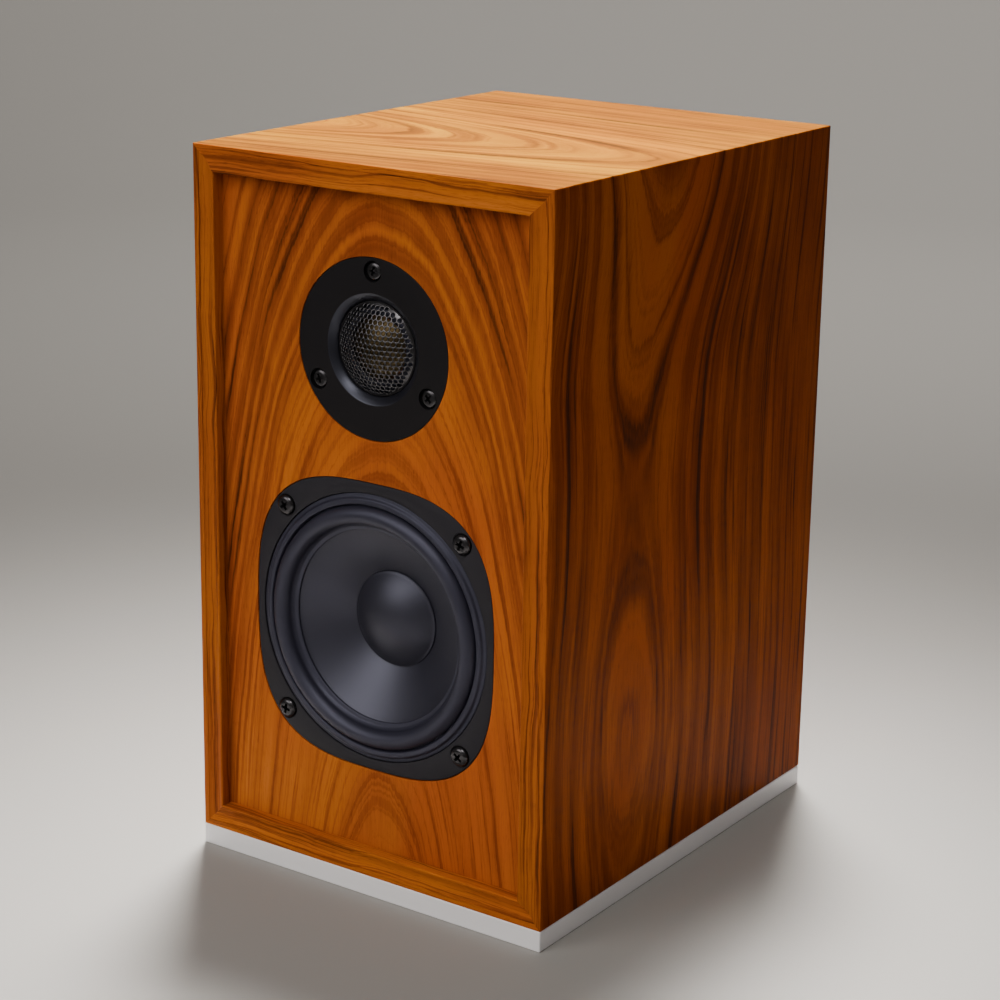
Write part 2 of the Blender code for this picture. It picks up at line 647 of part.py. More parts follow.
black_cap = material("black_cap", (0.01, 0.01, 0.01), 0.35)
foam_grey = material("foam_grey", (0.10, 0.10, 0.11), 0.95)
hardboard = material("hardboard", (0.22, 0.12, 0.05), 0.7)
capacitor_film = material("capacitor_film", (0.70, 0.55, 0.10), 0.4)

bottom_panel = make_carcass()
make_baffle()
make_base(bottom_panel)
make_rear()
make_port()
make_terminals()
make_brace()
make_foam()
make_woofer()
make_tweeter()
make_crossover()
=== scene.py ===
import math

import bmesh
import bpy
import numpy as np
from mathutils import Matrix


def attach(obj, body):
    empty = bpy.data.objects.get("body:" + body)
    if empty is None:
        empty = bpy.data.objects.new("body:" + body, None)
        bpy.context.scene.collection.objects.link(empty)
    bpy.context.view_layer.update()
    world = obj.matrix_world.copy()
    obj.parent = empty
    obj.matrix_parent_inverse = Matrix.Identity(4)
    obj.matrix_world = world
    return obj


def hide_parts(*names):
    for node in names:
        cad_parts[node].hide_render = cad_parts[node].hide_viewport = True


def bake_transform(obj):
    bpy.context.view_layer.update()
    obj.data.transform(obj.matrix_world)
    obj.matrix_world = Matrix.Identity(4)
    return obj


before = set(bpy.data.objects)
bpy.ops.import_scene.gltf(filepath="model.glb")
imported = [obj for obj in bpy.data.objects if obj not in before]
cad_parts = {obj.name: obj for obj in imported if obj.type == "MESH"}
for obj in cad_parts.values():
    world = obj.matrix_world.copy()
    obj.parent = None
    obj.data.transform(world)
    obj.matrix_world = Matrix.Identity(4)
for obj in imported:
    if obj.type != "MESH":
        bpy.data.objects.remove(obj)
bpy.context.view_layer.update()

mm = 0.001
mergeDistance = 2e-6  # metres; closer points become one
sliverLength = 1e-6
boxFaces = [(0, 3, 2, 1), (4, 5, 6, 7), (0, 1, 5, 4), (1, 2, 6, 5), (2, 3, 7, 6), (3, 0, 4, 7)]


class Wire:
    # One socket of a finish. Arithmetic on wires adds Math nodes.
    def __init__(self, paint, socket):
        self.paint = paint
        self.socket = socket

    def combine(self, operation, *others):
        return self.paint.node("ShaderNodeMath", {"operation": operation}, [self, *others])

    def __add__(self, other):
        return self.combine("ADD", other)

    def __radd__(self, other):
        return self.combine("ADD", other)

    def __sub__(self, other):
        return self.combine("SUBTRACT", other)

    def __rsub__(self, other):
        return self.combine("MULTIPLY", -1.0).combine("ADD", other)

    def __mul__(self, other):
        return self.combine("MULTIPLY", other)

    def __rmul__(self, other):
        return self.combine("MULTIPLY", other)

    def __truediv__(self, other):
        return self.combine("DIVIDE", other)

    def root(self):
        return self.combine("SQRT")

    def atLeast(self, other):
        return self.combine("MAXIMUM", other)

    def atMost(self, other):
        return self.combine("MINIMUM", other)

    def ease(self, start, end, low=0.0, high=1.0):
        # low before start, high after end, and a smooth step in between
        settings = {"interpolation_type": "SMOOTHSTEP"}
        return self.paint.node("ShaderNodeMapRange", settings, [self, start, end, low, high])


class Paint:
    # A finish under construction: its nodes, and the one surface shader that they feed.
    def __init__(self, name):
        self.material = bpy.data.materials.new(name)
        self.material.use_nodes = True
        self.tree = self.material.node_tree
        self.shader = self.tree.nodes["Principled BSDF"]

    def node(self, kind, settings=None, sockets=(), output=0):
        made = self.tree.nodes.new(kind)
        for key, value in (settings or {}).items():
            if key == "stops":
                self.setStops(made.color_ramp, value)
            else:
                setattr(made, key, value)
        pairs = sockets.items() if isinstance(sockets, dict) else enumerate(sockets)
        for key, value in pairs:
            self.feed(made.inputs[key], value)
        return Wire(self, made.outputs[output])

    def feed(self, socket, value):
        if isinstance(value, Wire):
            self.tree.links.new(value.socket, socket)
        else:
            socket.default_value = value

    def setStops(self, ramp, stops):
        while len(ramp.elements) < len(stops):
            ramp.elements.new(0.5)
        for element, (place, tone) in zip(ramp.elements, sorted(stops)):
            element.position = place
            element.color = (tone, tone, tone, 1.0)

    def places(self):
        # object coordinates in millimetres
        coordinates = self.node("ShaderNodeTexCoord", output="Object")
        parts = self.node("ShaderNodeSeparateXYZ", sockets=[coordinates]).socket.node
        return [Wire(self, output) * 1000.0 for output in parts.outputs]

    def vector(self, x, y, z=0.0):
        return self.node("ShaderNodeCombineXYZ", sockets=[x, y, z])

    def noise(self, vector, detail=2.0, roughness=0.5):
        sockets = {"Vector": vector, "Scale": 1.0, "Detail": detail, "Roughness": roughness}
        return self.node("ShaderNodeTexNoise", sockets=sockets)

    def mixColours(self, factor, first, second):
        # 0, 6 and 7 are the factor and the two colours, and output 2 is the mixed colour
        sockets = {0: factor, 6: first, 7: second}
        return self.node("ShaderNodeMix", {"data_type": "RGBA"}, sockets, output=2)

    def bump(self, height, strength, distance):
        sockets = {"Strength": strength, "Distance": distance, "Height": height}
        return self.node("ShaderNodeBump", sockets=sockets)

    def surface(self, **values):
        # keys are the shader's socket names with their spaces left out, first letter small
        sockets = {s.name.replace(" ", "").lower(): s for s in self.shader.inputs}
        for key, value in values.items():
            self.feed(sockets[key.lower()], value)
        return self.material


def colour(red, green, blue):
    # opaque, in linear values
    return (red, green, blue, 1.0)


grain = {
    "ringSpan": 170.0,  # mm of ring distance that a look's ring tones cover
    # cells per mm across and along the grain, slice of the noise, detail, roughness
    "wander": (0.035, 0.011, 0.0, 2.0, 0.5),
    "drift": (0.11, 0.02, 7.0, 2.0, 0.5),
    "fray": (0.8, 0.035, 9.0, 2.0, 0.6),
    "streak": (0.36, 0.005, 3.0, 3.0, 0.6),
    "line": (0.95, 0.008, 11.0, 3.0, 0.65),
    "fibre": (1.5, 0.045, 5.0, 3.0, 0.7),
    "pore": (3.2, 0.20, 2.0, 1.0, 0.5),
    "patch": (0.016, 0.007, 20.0, 2.0, 0.5),
}


def grainNoise(paint, layer, across, along):
    # Noise whose cells are stretched along the grain
    perAcross, perAlong, noiseSlice, detail, roughness = grain[layer]
    place = paint.vector(across * perAcross, along * perAlong, noiseSlice)
    return paint.noise(place, detail, roughness)


def grainField(paint, ring, along, across, look):
    # Darkness of the figure from a ring distance in mm: the ring's tone, then streaks and lines that
    # follow the rings, and fibre and pores that follow the grain. Wander and fray move the rings.
    wander = grainNoise(paint, "wander", across, along)
    drift = grainNoise(paint, "drift", across, along)
    fray = grainNoise(paint, "fray", across, along)
    ring = ring + (wander - 0.5) * look["wander"] + (drift - 0.5) * look["wander"] * 0.3
    ring = ring + (fray - 0.5) * look["fray"]
    stops = [(place / grain["ringSpan"], tone) for place, tone in look["rings"]]
    band = paint.node("ShaderNodeValToRGB", {"stops": stops}, [ring / grain["ringSpan"]])
    streak = grainNoise(paint, "streak", ring, along)
    line = grainNoise(paint, "line", ring, along)
    fibre = grainNoise(paint, "fibre", across, along)
    pore = grainNoise(paint, "pore", across, along)
    pores = pore.ease(0.58, 0.70)
    tone = band * look["ringDepth"] * (drift * 0.7 + 0.65)
    tone = tone + streak.ease(0.50, 0.66) * look["streaks"]
    tone = tone + line.ease(0.50, 0.64) * look["lines"]
    tone = tone + (fibre - 0.5) * look["fibre"]
    tone = tone + pores * look["pores"]
    return tone.atLeast(0.0).atMost(1.0), fibre, pores


def woodColours(paint, tone, across, along, look):
    # Tone 0 is the light wood and 1 the dark line. Broad patches go from golden to reddish.
    patch = grainNoise(paint, "patch", across, along)
    patch = patch.ease(0.34, 0.68)
    light = paint.mixColours(patch, look["golden"], look["reddish"])
    middle = paint.mixColours(patch, look["brown"], look["brownRed"])
    body = paint.mixColours(tone.ease(0.0, 0.55), light, middle)
    return paint.mixColours(tone.ease(0.45, 1.0), body, look["dark"])


woodTones = {
    "golden": colour(0.53, 0.150, 0.018),
    "reddish": colour(0.46, 0.102, 0.014),
    "brown": colour(0.28, 0.064, 0.011),
    "brownRed": colour(0.22, 0.043, 0.009),
    "dark": colour(0.064, 0.016, 0.005),
    "roughness": 0.40,
    "gloss": 0.03,
    "coat": 0.0,
    "coatRoughness": 0.25,
    "toneRoughness": 0.06,  # dark lines are this much rougher
    "fibreRoughness": 0.08,
    "bumpStrength": 0.10,
    "bumpDepth": 0.0002,
}


def woodFinish(name, figure, look):
    # Veneer: the figure gives a ring distance, and the tone from it sets the colour and the roughness
    paint = Paint(name)
    x, y, z = paint.places()
    ring, along, across = figure(paint, x, y, z)
    tone, fibre, pores = grainField(paint, ring, along, across, look)
    wood = woodColours(paint, tone, across, along, {**woodTones, **look})
    rough = woodTones["roughness"] + tone * woodTones["toneRoughness"]
    rough = rough + (fibre - 0.5) * woodTones["fibreRoughness"]
    relief = fibre * 0.5 - pores * 0.6
    normal = paint.bump(relief, woodTones["bumpStrength"], woodTones["bumpDepth"])
    return paint.surface(
        baseColor=wood,
        roughness=rough,
        normal=normal,
        specularIorLevel=woodTones["gloss"],
        coatWeight=woodTones["coat"],
        coatRoughness=woodTones["coatRoughness"],
    )


cabinet = {
    "halfWidth": 89.0,
    "front": -108.0,
    "back": 108.0,
    "bottom": 9.05,
    "top": 309.3,
    "wall": 11.0,
    "edge": 0.25,  # chamfer along the outer corners
    "mitreGap": 0.02,
    "mitreRing": 0.3,  # a ring of points this far back keeps the shading crisp at a mitre
}
moulding = {
    "back": -96.0,
    "width": 11.2,
    "outerRound": 0.5,
    "quirk": [(2.78, 0.0), (2.88, 0.35), (3.02, 0.35)],  # (inward, depth) of the fine groove
    "quirkEnd": (3.12, 0.15),
    "hollowStart": 3.0,
    "hollowWidth": 7.3,
    "hollowDepth": 1.1,
    "hollowRise": 0.6,
    "hollowPoints": 26,
    "lipCentre": (10.6, 0.1),
    "lipRound": (0.6, 0.7),
}

wrapLook = {
    "wander": 2.4,
    "fray": 0.9,
    "ringDepth": 0.68,
    "streaks": 0.38,
    "lines": 0.15,
    "fibre": 0.42,
    "pores": 0.12,
    "rings": [
        (0, 0.20), (25, 0.35), (31, 0.55), (34, 0.25), (43.6, 0.50), (45, 0.30), (47.2, 0.45),
        (49, 0.20), (53, 0.75), (56, 0.15), (60, 0.05), (63, 0.32), (64.2, 0.14), (66.4, 0.70),
        (67.0, 0.45), (67.6, 0.75), (68.8, 0.35), (72, 0.30), (74.8, 0.75), (78, 0.35), (82, 0.85),
        (84.5, 0.40), (87.5, 0.85), (90.5, 0.30), (94, 0.80), (98, 0.35), (102.5, 0.85),
        (105, 0.50), (109, 0.80), (116.5, 0.35), (119, 0.60), (156, 0.55),
    ],
}
# The right side's tones: the same veneer as the top, darker and redder, as painted shade for the side that
# faces away from the lamps
sideLookPaintedShade = {
    **wrapLook,
    "golden": colour(0.48, 0.118, 0.004),
    "reddish": colour(0.40, 0.076, 0.003),
    "brown": colour(0.24, 0.048, 0.003),
    "brownRed": colour(0.19, 0.034, 0.003),
    "dark": colour(0.052, 0.012, 0.003),
}
# The top's tones: the same veneer as the right side, more golden and yellower, as painted light in the
# colour of the light that falls on the top
topLookPaintedLight = {
    **wrapLook,
    "golden": colour(0.46, 0.205, 0.003),
    "reddish": colour(0.42, 0.150, 0.003),
    "brown": colour(0.27, 0.090, 0.003),
    "brownRed": colour(0.21, 0.060, 0.003),
    "dark": colour(0.060, 0.019, 0.003),
}


wrapBoard = {
    "pith": 26.0,  # mm that the pith lies in front of the middle
    "saddle": 133.0,  # mm down the side where the rings pinch in
    "saddleRound": 60.0,
    "height": 4460.0,
    "sideDip": 19.36,
    "topDip": 14.0,
    "footWave": 103.0,
    "footDip": 300.0,
    "lean": 19.0,  # mm that the figure moves forwards in the first 90 mm down the side, less at the back
}


def wrapFigure(paint, x, y, z):
    # One board folded over the right edge: s runs in from the edge over the top (negative) and down
    # the side. Ring distance squared = across squared + height, and the height falls away on both
    # sides of a saddle: along a hyperbola above it, along a cosine below it, and evenly over the top.
    b = wrapBoard
    s = (cabinet["top"] - z) + (x - cabinet["halfWidth"])
    lean = s.ease(0.0, 90.0, 0.0, b["lean"]) * y.ease(-10.0, 80.0, 1.0, 0.2)
    across = y + b["pith"] + lean
    ahead = (b["saddle"] - s).atLeast(0.0).atMost(b["saddle"])
    over = (0.0 - s).atLeast(0.0)
    behind = (s - b["saddle"]).atLeast(0.0)
    reach = (ahead * ahead + b["saddleRound"] ** 2).root() - b["saddleRound"]
    fall = 1.0 - (behind * (math.pi / b["footWave"])).combine("COSINE")
    height = b["height"] - reach * b["sideDip"] - over * b["topDip"] - fall * b["footDip"]
    return (across * across + height).root(), s, across


leftBoard = {
    "pith": 26.0,
    "height": 311.0,
    "dip": 16.0,
}


def leftFigure(paint, x, y, z):
    # Down from the top's left edge: ring distance squared = across squared + a height that grows evenly
    s = cabinet["top"] - z
    across = y + leftBoard["pith"]
    return (across * across + leftBoard["height"] + s * leftBoard["dip"]).root(), s, across


baffleLook = {
    "wander": 2.6,
    "fray": 0.8,
    "ringDepth": 0.70,
    "streaks": 0.34,
    "lines": 0.16,
    "fibre": 0.36,
    "pores": 0.12,
    "rings": [
        (0, 0.20), (26, 0.25), (30, 0.30), (35, 0.30), (36.2, 0.42), (38, 0.25), (45, 0.12), (52, 0.30),
        (57, 0.10), (62, 0.15), (66.4, 0.32), (67.6, 0.20), (68.6, 0.30), (70, 0.10), (76, 0.35),
        (80, 0.12), (85, 0.30), (89.1, 0.60), (90.4, 0.22), (91.8, 0.85), (93.2, 0.22), (95.5, 0.85),
        (96.8, 0.25), (98.6, 1.00), (100, 0.25), (102.6, 0.85), (104.5, 0.22), (107.2, 0.85),
        (109, 0.22), (112.4, 0.85), (114.5, 0.25), (130, 0.50),
    ],
}


baffleBoard = {
    "pithX": 5.0,
    "foot": 24.3,
    "height": 900.0,
    "dip": 12.0,
    "curve": 0.062,
}


def baffleFigure(paint, x, y, z):
    # Arches that open downwards: ring distance squared = across squared + a height that grows with
    # the climb and its square, so the board dips away from the pith towards the head
    across = x - baffleBoard["pithX"]
    climb = z - baffleBoard["foot"]
    height = baffleBoard["height"] + climb * baffleBoard["dip"] + climb * climb * baffleBoard["curve"]
    return (across * across + height).root(), z, across


straightBoard = {
    "across": 0.9,
    "depth": 0.8,
    "pith": 90.0,
    "waver": 6.0,
    "waverScale": 0.02,
}


def straightFigure(upright):
    # Grain along a member; the rings are nearly flat and far from the pith
    def figure(paint, x, y, z):
        across = x if upright else z
        along = z if upright else x
        waver = paint.noise(paint.vector(0.0, along * straightBoard["waverScale"]), 2.0)
        ring = across * straightBoard["across"] + y * straightBoard["depth"] + straightBoard["pith"]
        ring = ring + waver * straightBoard["waver"]
        return ring, along, across + y

    return figure


mouldingLook = {
    "wander": 3.0,
    "fray": 0.8,
    "ringDepth": 0.22,
    "streaks": 0.40,
    "lines": 0.38,
    "fibre": 0.70,
    "pores": 0.18,
    "rings": [(0, 0.2), (60, 0.5), (84, 0.2), (88, 0.6), (92, 0.2), (97, 0.5), (103, 0.2), (130, 0.5)],
    "golden": colour(0.42, 0.118, 0.014),
    "reddish": colour(0.34, 0.078, 0.011),
    "brown": colour(0.22, 0.052, 0.010),
    "brownRed": colour(0.17, 0.036, 0.008),
    "dark": colour(0.060, 0.015, 0.005),
}
railLook = {
    **mouldingLook,
    "golden": colour(0.55, 0.160, 0.016),
    "reddish": colour(0.46, 0.108, 0.012),
    "brown": colour(0.28, 0.068, 0.010),
    "brownRed": colour(0.21, 0.046, 0.008),
}
rearLook = {**wrapLook, "ringDepth": 0.40, "wander": 4.0, "fray": 0.4}


def noisyFinish(name, base, roughness, perMm, amount, bumpDepth=0.0, **constants):
    # A plain finish whose colour and roughness vary a little, with a fine tooth of perMm cells per mm
    paint = Paint(name)
    x, y, z = paint.places()
    tooth = paint.noise(paint.vector(x * perMm, y * perMm, z * perMm), 3.0, 0.6)
    cloud = paint.noise(paint.vector(x * 0.03, y * 0.03, z * 0.03), 2.0, 0.5)
    shade = tuple(value * (1.0 - amount) for value in base) + (1.0,)
    lift = tuple(min(1.0, value * (1.0 + amount)) for value in base) + (1.0,)
    tint = paint.mixColours(tooth * 0.6 + cloud * 0.4, shade, lift)
    rough = roughness + (tooth - 0.5) * 0.12 + (cloud - 0.5) * 0.08
    if bumpDepth:
        constants["normal"] = paint.bump(tooth, 0.5, bumpDepth)
    return paint.surface(baseColor=tint, roughness=rough, **constants)


# material name, colour, roughness, tooth per mm, how much the colour varies, bump depth in metres
plainFinishes = {
    "plate": ("satinAluminium", (0.96, 0.95, 0.98), 0.48, 2.5, 0.03, 0.00002),
    "flange": ("castFrameGrey", (0.0160, 0.0150, 0.0200), 0.55, 3.2, 0.30, 0.00012),
    "faceplate": ("faceplateBlack", (0.0060, 0.0050, 0.0064), 0.55, 4.0, 0.20, 0.00006),
    "pocket": ("pocketGloss", (0.007, 0.007, 0.010), 0.36, 4.0, 0.10),
    "surround": ("rubberSurround", (0.013, 0.0125, 0.021), 0.50, 2.0, 0.10, 0.00001),
    "cone": ("coatedCone", (0.011, 0.0105, 0.016), 0.43, 3.0, 0.15, 0.00003),
    "dustCap": ("softDustCap", (0.009, 0.0085, 0.013), 0.45, 3.0, 0.10, 0.00001),
    "blackScrew": ("blackScrew", (0.055, 0.053, 0.058), 0.24, 1.2, 0.2),
    "brightScrew": ("brightScrew", (0.6, 0.6, 0.62), 0.3, 1.2, 0.1),
    "mesh": ("blackMesh", (0.07, 0.068, 0.074), 0.20, 1.5, 0.2),
    "dome": ("goldenDome", (0.12, 0.086, 0.042), 0.45, 0.8, 0.08),
    "moulded": ("mouldedBlack", (0.012, 0.012, 0.012), 0.5, 2.5, 0.15, 0.00004),
    "gilt": ("giltBrass", (0.80, 0.56, 0.22), 0.26, 1.0, 0.08),
    "redCap": ("redCap", (0.27, 0.007, 0.005), 0.3, 1.0, 0.10),
    "blackCap": ("blackCap", (0.010, 0.010, 0.010), 0.3, 1.0, 0.10),
    "copper": ("copperWire", (0.65, 0.28, 0.12), 0.32, 1.5, 0.12),
    "steel": ("motorSteel", (0.08, 0.08, 0.085), 0.42, 1.5, 0.12),
    "ferrite": ("ferrite", (0.03, 0.03, 0.03), 0.6, 1.5, 0.2, 0.00005),
    "cloth": ("spiderCloth", (0.55, 0.36, 0.12), 0.9, 2.5, 0.2, 0.0001),
    "plywood": ("birchPlywood", (0.55, 0.40, 0.24), 0.7, 0.6, 0.12, 0.00005),
    "foam": ("openFoam", (0.10, 0.10, 0.11), 0.95, 1.2, 0.4, 0.0006),
    "board": ("hardboard", (0.22, 0.12, 0.05), 0.7, 1.5, 0.15, 0.00005),
    "film": ("capacitorFilm", (0.70, 0.55, 0.10), 0.38, 0.5, 0.06),
}
finishGloss = {
    "plate": {"metallic": 0.05},
    "flange": {"specularIorLevel": 0.25},
    "faceplate": {"specularIorLevel": 0.2},
    "pocket": {"specularIorLevel": 0.65, "specularTint": colour(0.74, 0.78, 1.0)},
    "surround": {"specularIorLevel": 0.75, "specularTint": colour(0.72, 0.74, 1.0)},
    "cone": {"specularIorLevel": 0.9, "specularTint": colour(0.74, 0.76, 1.0)},
    "dustCap": {"specularIorLevel": 0.8, "specularTint": colour(0.74, 0.76, 1.0)},
    "blackScrew": {"metallic": 0.85},
    "brightScrew": {"metallic": 1.0},
    "mesh": {"metallic": 0.9},
    "dome": {"metallic": 1.0},
    "gilt": {"metallic": 1.0},
    "copper": {"metallic": 1.0},
    "steel": {"metallic": 0.8},
}


def makeFinishes():
    # Veneers first, then the plain finishes
    made = {
        # the top and the right side share one veneer; the top's tones carry painted light and the right
        # side's carry painted shade
        "top": woodFinish("veneerTopPaintedLight", wrapFigure, topLookPaintedLight),
        "right": woodFinish("veneerRightPaintedShade", wrapFigure, sideLookPaintedShade),
        "left": woodFinish("veneerLeftAndBottom", leftFigure, wrapLook),
        "baffle": woodFinish("veneerBaffle", baffleFigure, baffleLook),
        "stile": woodFinish("mouldingStile", straightFigure(True), mouldingLook),
        "rail": woodFinish("mouldingRail", straightFigure(False), railLook),
        "rear": woodFinish("veneerRear", straightFigure(True), rearLook),
    }
    for key, values in plainFinishes.items():
        made[key] = noisyFinish(*values, **finishGloss.get(key, {}))
    return made


def meshFrom(name, points, faces):
    # points in mm as rows of x, y, z; faces as rows of point numbers. Doubles merged, normals outward.
    mesh = bpy.data.meshes.new(name)
    mesh.from_pydata((np.asarray(points) * mm).tolist(), [], [list(face) for face in faces])
    return cleaned(mesh)


def cleaned(mesh, sharpAngle=32.0):
    # Doubles merged, slivers gone, normals outward, and edges past sharpAngle degrees shaded sharp
    shape = bmesh.new()
    shape.from_mesh(mesh)
    bmesh.ops.remove_doubles(shape, verts=shape.verts, dist=mergeDistance)
    bmesh.ops.dissolve_degenerate(shape, edges=shape.edges, dist=sliverLength)
    bmesh.ops.recalc_face_normals(shape, faces=shape.faces)
    shape.to_mesh(mesh)
    shape.free()
    mesh.shade_smooth()
    mesh.set_sharp_from_angle(angle=math.radians(sharpAngle))
    return mesh


def gridFaces(rows, columns, wrapRows, wrapColumns):
    # Quads of a rows by columns grid of points; a wrapped side joins its last line to its first.
    i = np.arange(rows if wrapRows else rows - 1)[:, None]
    j = np.arange(columns if wrapColumns else columns - 1)[None, :]
    nextI = (i + 1) % rows
    nextJ = (j + 1) % columns
    corners = [i * columns + j, nextI * columns + j, nextI * columns + nextJ, i * columns + nextJ]
    return np.stack([np.broadcast_to(c, (i.size, j.size)) for c in corners], axis=-1).reshape(-1, 4)


def cappedFaces(rings, count):
    # The quads between rings of points, and the first and last ring as one face each
    faces = [tuple(face) for face in gridFaces(rings, count, False, True)]
    last = (rings - 1) * count
    return faces + [tuple(range(count)), tuple(range(last, last + count))]


def piece(name, mesh, finishes, body, *nodes):
    # An object of its own that rides on a body and stands for the nodes
    obj = bpy.data.objects.new(name, mesh)
    bpy.context.scene.collection.objects.link(obj)
    for finish in finishes:
        mesh.materials.append(finish)
    if body:
        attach(obj, body)
    if nodes:
        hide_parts(*nodes)
    return obj


def turnedPoints(profile, steps, x=0.0, y=0.0, z=0.0, radii=None):
    # Each profile point (radius, depth) circles the axis: x + r cos a, y + depth, z + r sin a.
    # radii, if given, holds every radius for every angle.
    profile = np.asarray(profile, float)
    angle = np.arange(steps) * 2 * math.pi / steps
    radius = np.broadcast_to(profile[:, 0], (steps, len(profile))) if radii is None else radii
    depth = np.broadcast_to(profile[:, 1], (steps, len(profile)))
    across = x + radius * np.cos(angle)[:, None]
    height = z + radius * np.sin(angle)[:, None]
    return np.stack([across, y + depth, height], axis=-1).reshape(-1, 3)


def turned(name, profile, steps, x=0.0, y=0.0, z=0.0, radii=None):
    # A closed ring, or a solid whose profile starts and ends on the axis
    closedRing = profile[0][0] > 1e-6
    points = turnedPoints(profile, steps, x, y, z, radii)
    return meshFrom(name, points, gridFaces(steps, len(profile), True, closedRing))


def rounded(corners, cut, steps=4, closed=True):
    # Each corner becomes a curve (1-t)^2 A + 2t(1-t) corner + t^2 B, with A and B on its two edges
    # at the distance cut, or less than half way on a short edge.
    corner = np.asarray(corners, float)
    cut = np.broadcast_to(np.asarray(cut, float), (len(corner),))[:, None]
    before = np.roll(corner, 1, axis=0) - corner
    after = np.roll(corner, -1, axis=0) - corner
    lengthBefore = np.linalg.norm(before, axis=1, keepdims=True)
    lengthAfter = np.linalg.norm(after, axis=1, keepdims=True)
    start = corner + before * np.minimum(cut / lengthBefore, 0.48)
    end = corner + after * np.minimum(cut / lengthAfter, 0.48)
    t = np.linspace(0.0, 1.0, steps)[None, :, None]
    curve = (1 - t) ** 2 * start[:, None] + 2 * t * (1 - t) * corner[:, None] + t * t * end[:, None]
    if closed:
        return curve.reshape(-1, 2)
    return np.concatenate([corner[:1], curve[1:-1].reshape(-1, 2), corner[-1:]])


def arc(centreR, centreD, radiusR, radiusD, start, end, steps):
    # An ellipse's points (r, d) from one angle to another, in degrees
    angle = np.radians(np.linspace(start, end, steps))
    return np.stack([centreR + radiusR * np.cos(angle), centreD - radiusD * np.sin(angle)], axis=-1)


def curveThrough(points, steps):
    # A Catmull-Rom curve: each stretch is the cubic set by its ends and their neighbours
    p = np.asarray(points, float)
    p = np.concatenate([2 * p[:1] - p[1:2], p, 2 * p[-1:] - p[-2:-1]])
    t = np.linspace(0.0, 1.0, steps, endpoint=False)[None, :, None]
    a, b, c, d = (p[k:len(p) - 3 + k, None, :] for k in range(4))
    cubic = 2 * b + (c - a) * t + (2 * a - 5 * b + 4 * c - d) * t ** 2 + (3 * b - a - 3 * c + d) * t ** 3
    return np.concatenate([0.5 * cubic.reshape(-1, 2), p[-2:-1]])


def carve(mesh, tools):
    # Cuts the tool meshes out of the mesh
    obj = bpy.data.objects.new(mesh.name, mesh)
    bpy.context.scene.collection.objects.link(obj)
    helpers = []
    for tool in tools:
        helper = bpy.data.objects.new(tool.name, tool)
        bpy.context.scene.collection.objects.link(helper)
        modifier = obj.modifiers.new("cut", "BOOLEAN")
        modifier.operation = "DIFFERENCE"
        modifier.object = helper
        helpers.append(helper)
    graph = bpy.context.evaluated_depsgraph_get()
    made = bpy.data.meshes.new_from_object(obj.evaluated_get(graph))
    made.name = mesh.name
    for used in [obj, *helpers]:
        bpy.data.objects.remove(used, do_unlink=True)
    return cleaned(made)


def boxMesh(name, low, high):
    # Eight corners between two opposite ones
    low, high = np.asarray(low, float), np.asarray(high, float)
    around = [(0, 0), (1, 0), (1, 1), (0, 1)]
    picks = np.array([(i, j, k) for k in (0, 1) for i, j in around])
    return meshFrom(name, low + picks * (high - low), boxFaces)


def prismMesh(name, outline, levels):
    # Rings of (x, z) points, one for each y in levels, skinned and capped at both ends
    rings, count = outline.shape[:2]
    y = np.broadcast_to(levels[:, None], (rings, count))
    points = np.stack([outline[..., 0], y, outline[..., 1]], axis=-1).reshape(-1, 3)
    return meshFrom(name, points, cappedFaces(rings, count))


def tubeMesh(name, radius, low, high, x, z, steps=96):
    # A plain round cutter along y
    return turned(name, [(0, low), (radius, low), (radius, high), (0, high)], steps, x, 0.0, z)


def mitredBar(name, section, side):
    # A section of (inward, y) points carried along one side of the front outline, both ends cut at
    # 45 degrees: a point that lies u inwards stops u short of the corner. The outer edge is chamfered.
    section = np.asarray(section, float)
    u = section[:, 0]
    edge = cabinet["edge"]
    upright = side in ("left", "right")
    halfHeight = (cabinet["top"] - cabinet["bottom"]) / 2
    centreZ = (cabinet["top"] + cabinet["bottom"]) / 2
    halfLength = halfHeight if upright else cabinet["halfWidth"]
    capInward = np.maximum(u, edge / 2)
    nearEnd = np.where(u < edge / 2, edge - u, u + cabinet["mitreRing"])
    inward = np.stack([capInward, u, u, capInward])
    reach = np.stack([
        -(halfLength - capInward - cabinet["mitreGap"]),
        -(halfLength - nearEnd),
        halfLength - nearEnd,
        halfLength - capInward - cabinet["mitreGap"],
    ])
    y = np.broadcast_to(section[:, 1], inward.shape)
    if side == "right":
        points = np.stack([cabinet["halfWidth"] - inward, y, centreZ + reach], axis=-1)
    elif side == "left":
        points = np.stack([inward - cabinet["halfWidth"], y, centreZ + reach], axis=-1)
    elif side == "top":
        points = np.stack([reach, y, cabinet["top"] - inward], axis=-1)
    else:
        points = np.stack([reach, y, cabinet["bottom"] + inward], axis=-1)
    return meshFrom(name, points.reshape(-1, 3), cappedFaces(4, len(section)))


def mouldingSection():
    # Outer flat, a fine quirk, a hollow of rise x smooth(t) - depth x sin(pi t), an inner lip that is
    # a quarter ellipse, and a square drop
    m = moulding
    front = cabinet["front"]
    edge = m["outerRound"]
    t = np.linspace(0.0, 1.0, m["hollowPoints"])
    inward = m["hollowStart"] + m["hollowWidth"] * t
    rise = m["hollowRise"] * t * t * (3 - 2 * t) - m["hollowDepth"] * np.sin(math.pi * t)
    hollow = np.stack([inward, front - rise], axis=-1)
    hollow[0] = (m["quirkEnd"][0], front + m["quirkEnd"][1])
    outer = arc(edge, front + edge, edge, edge, 180.0, 90.0, 5)
    quirk = [(u, front + depth) for u, depth in m["quirk"]]
    lipIn, lipDepth = m["lipCentre"]
    lip = arc(lipIn, front + lipDepth, *m["lipRound"], 90.0, 0.0, 7)[1:]
    back = [(m["width"], m["back"]), (0.0, m["back"])]
    return np.concatenate([outer, quirk, hollow, lip, back])


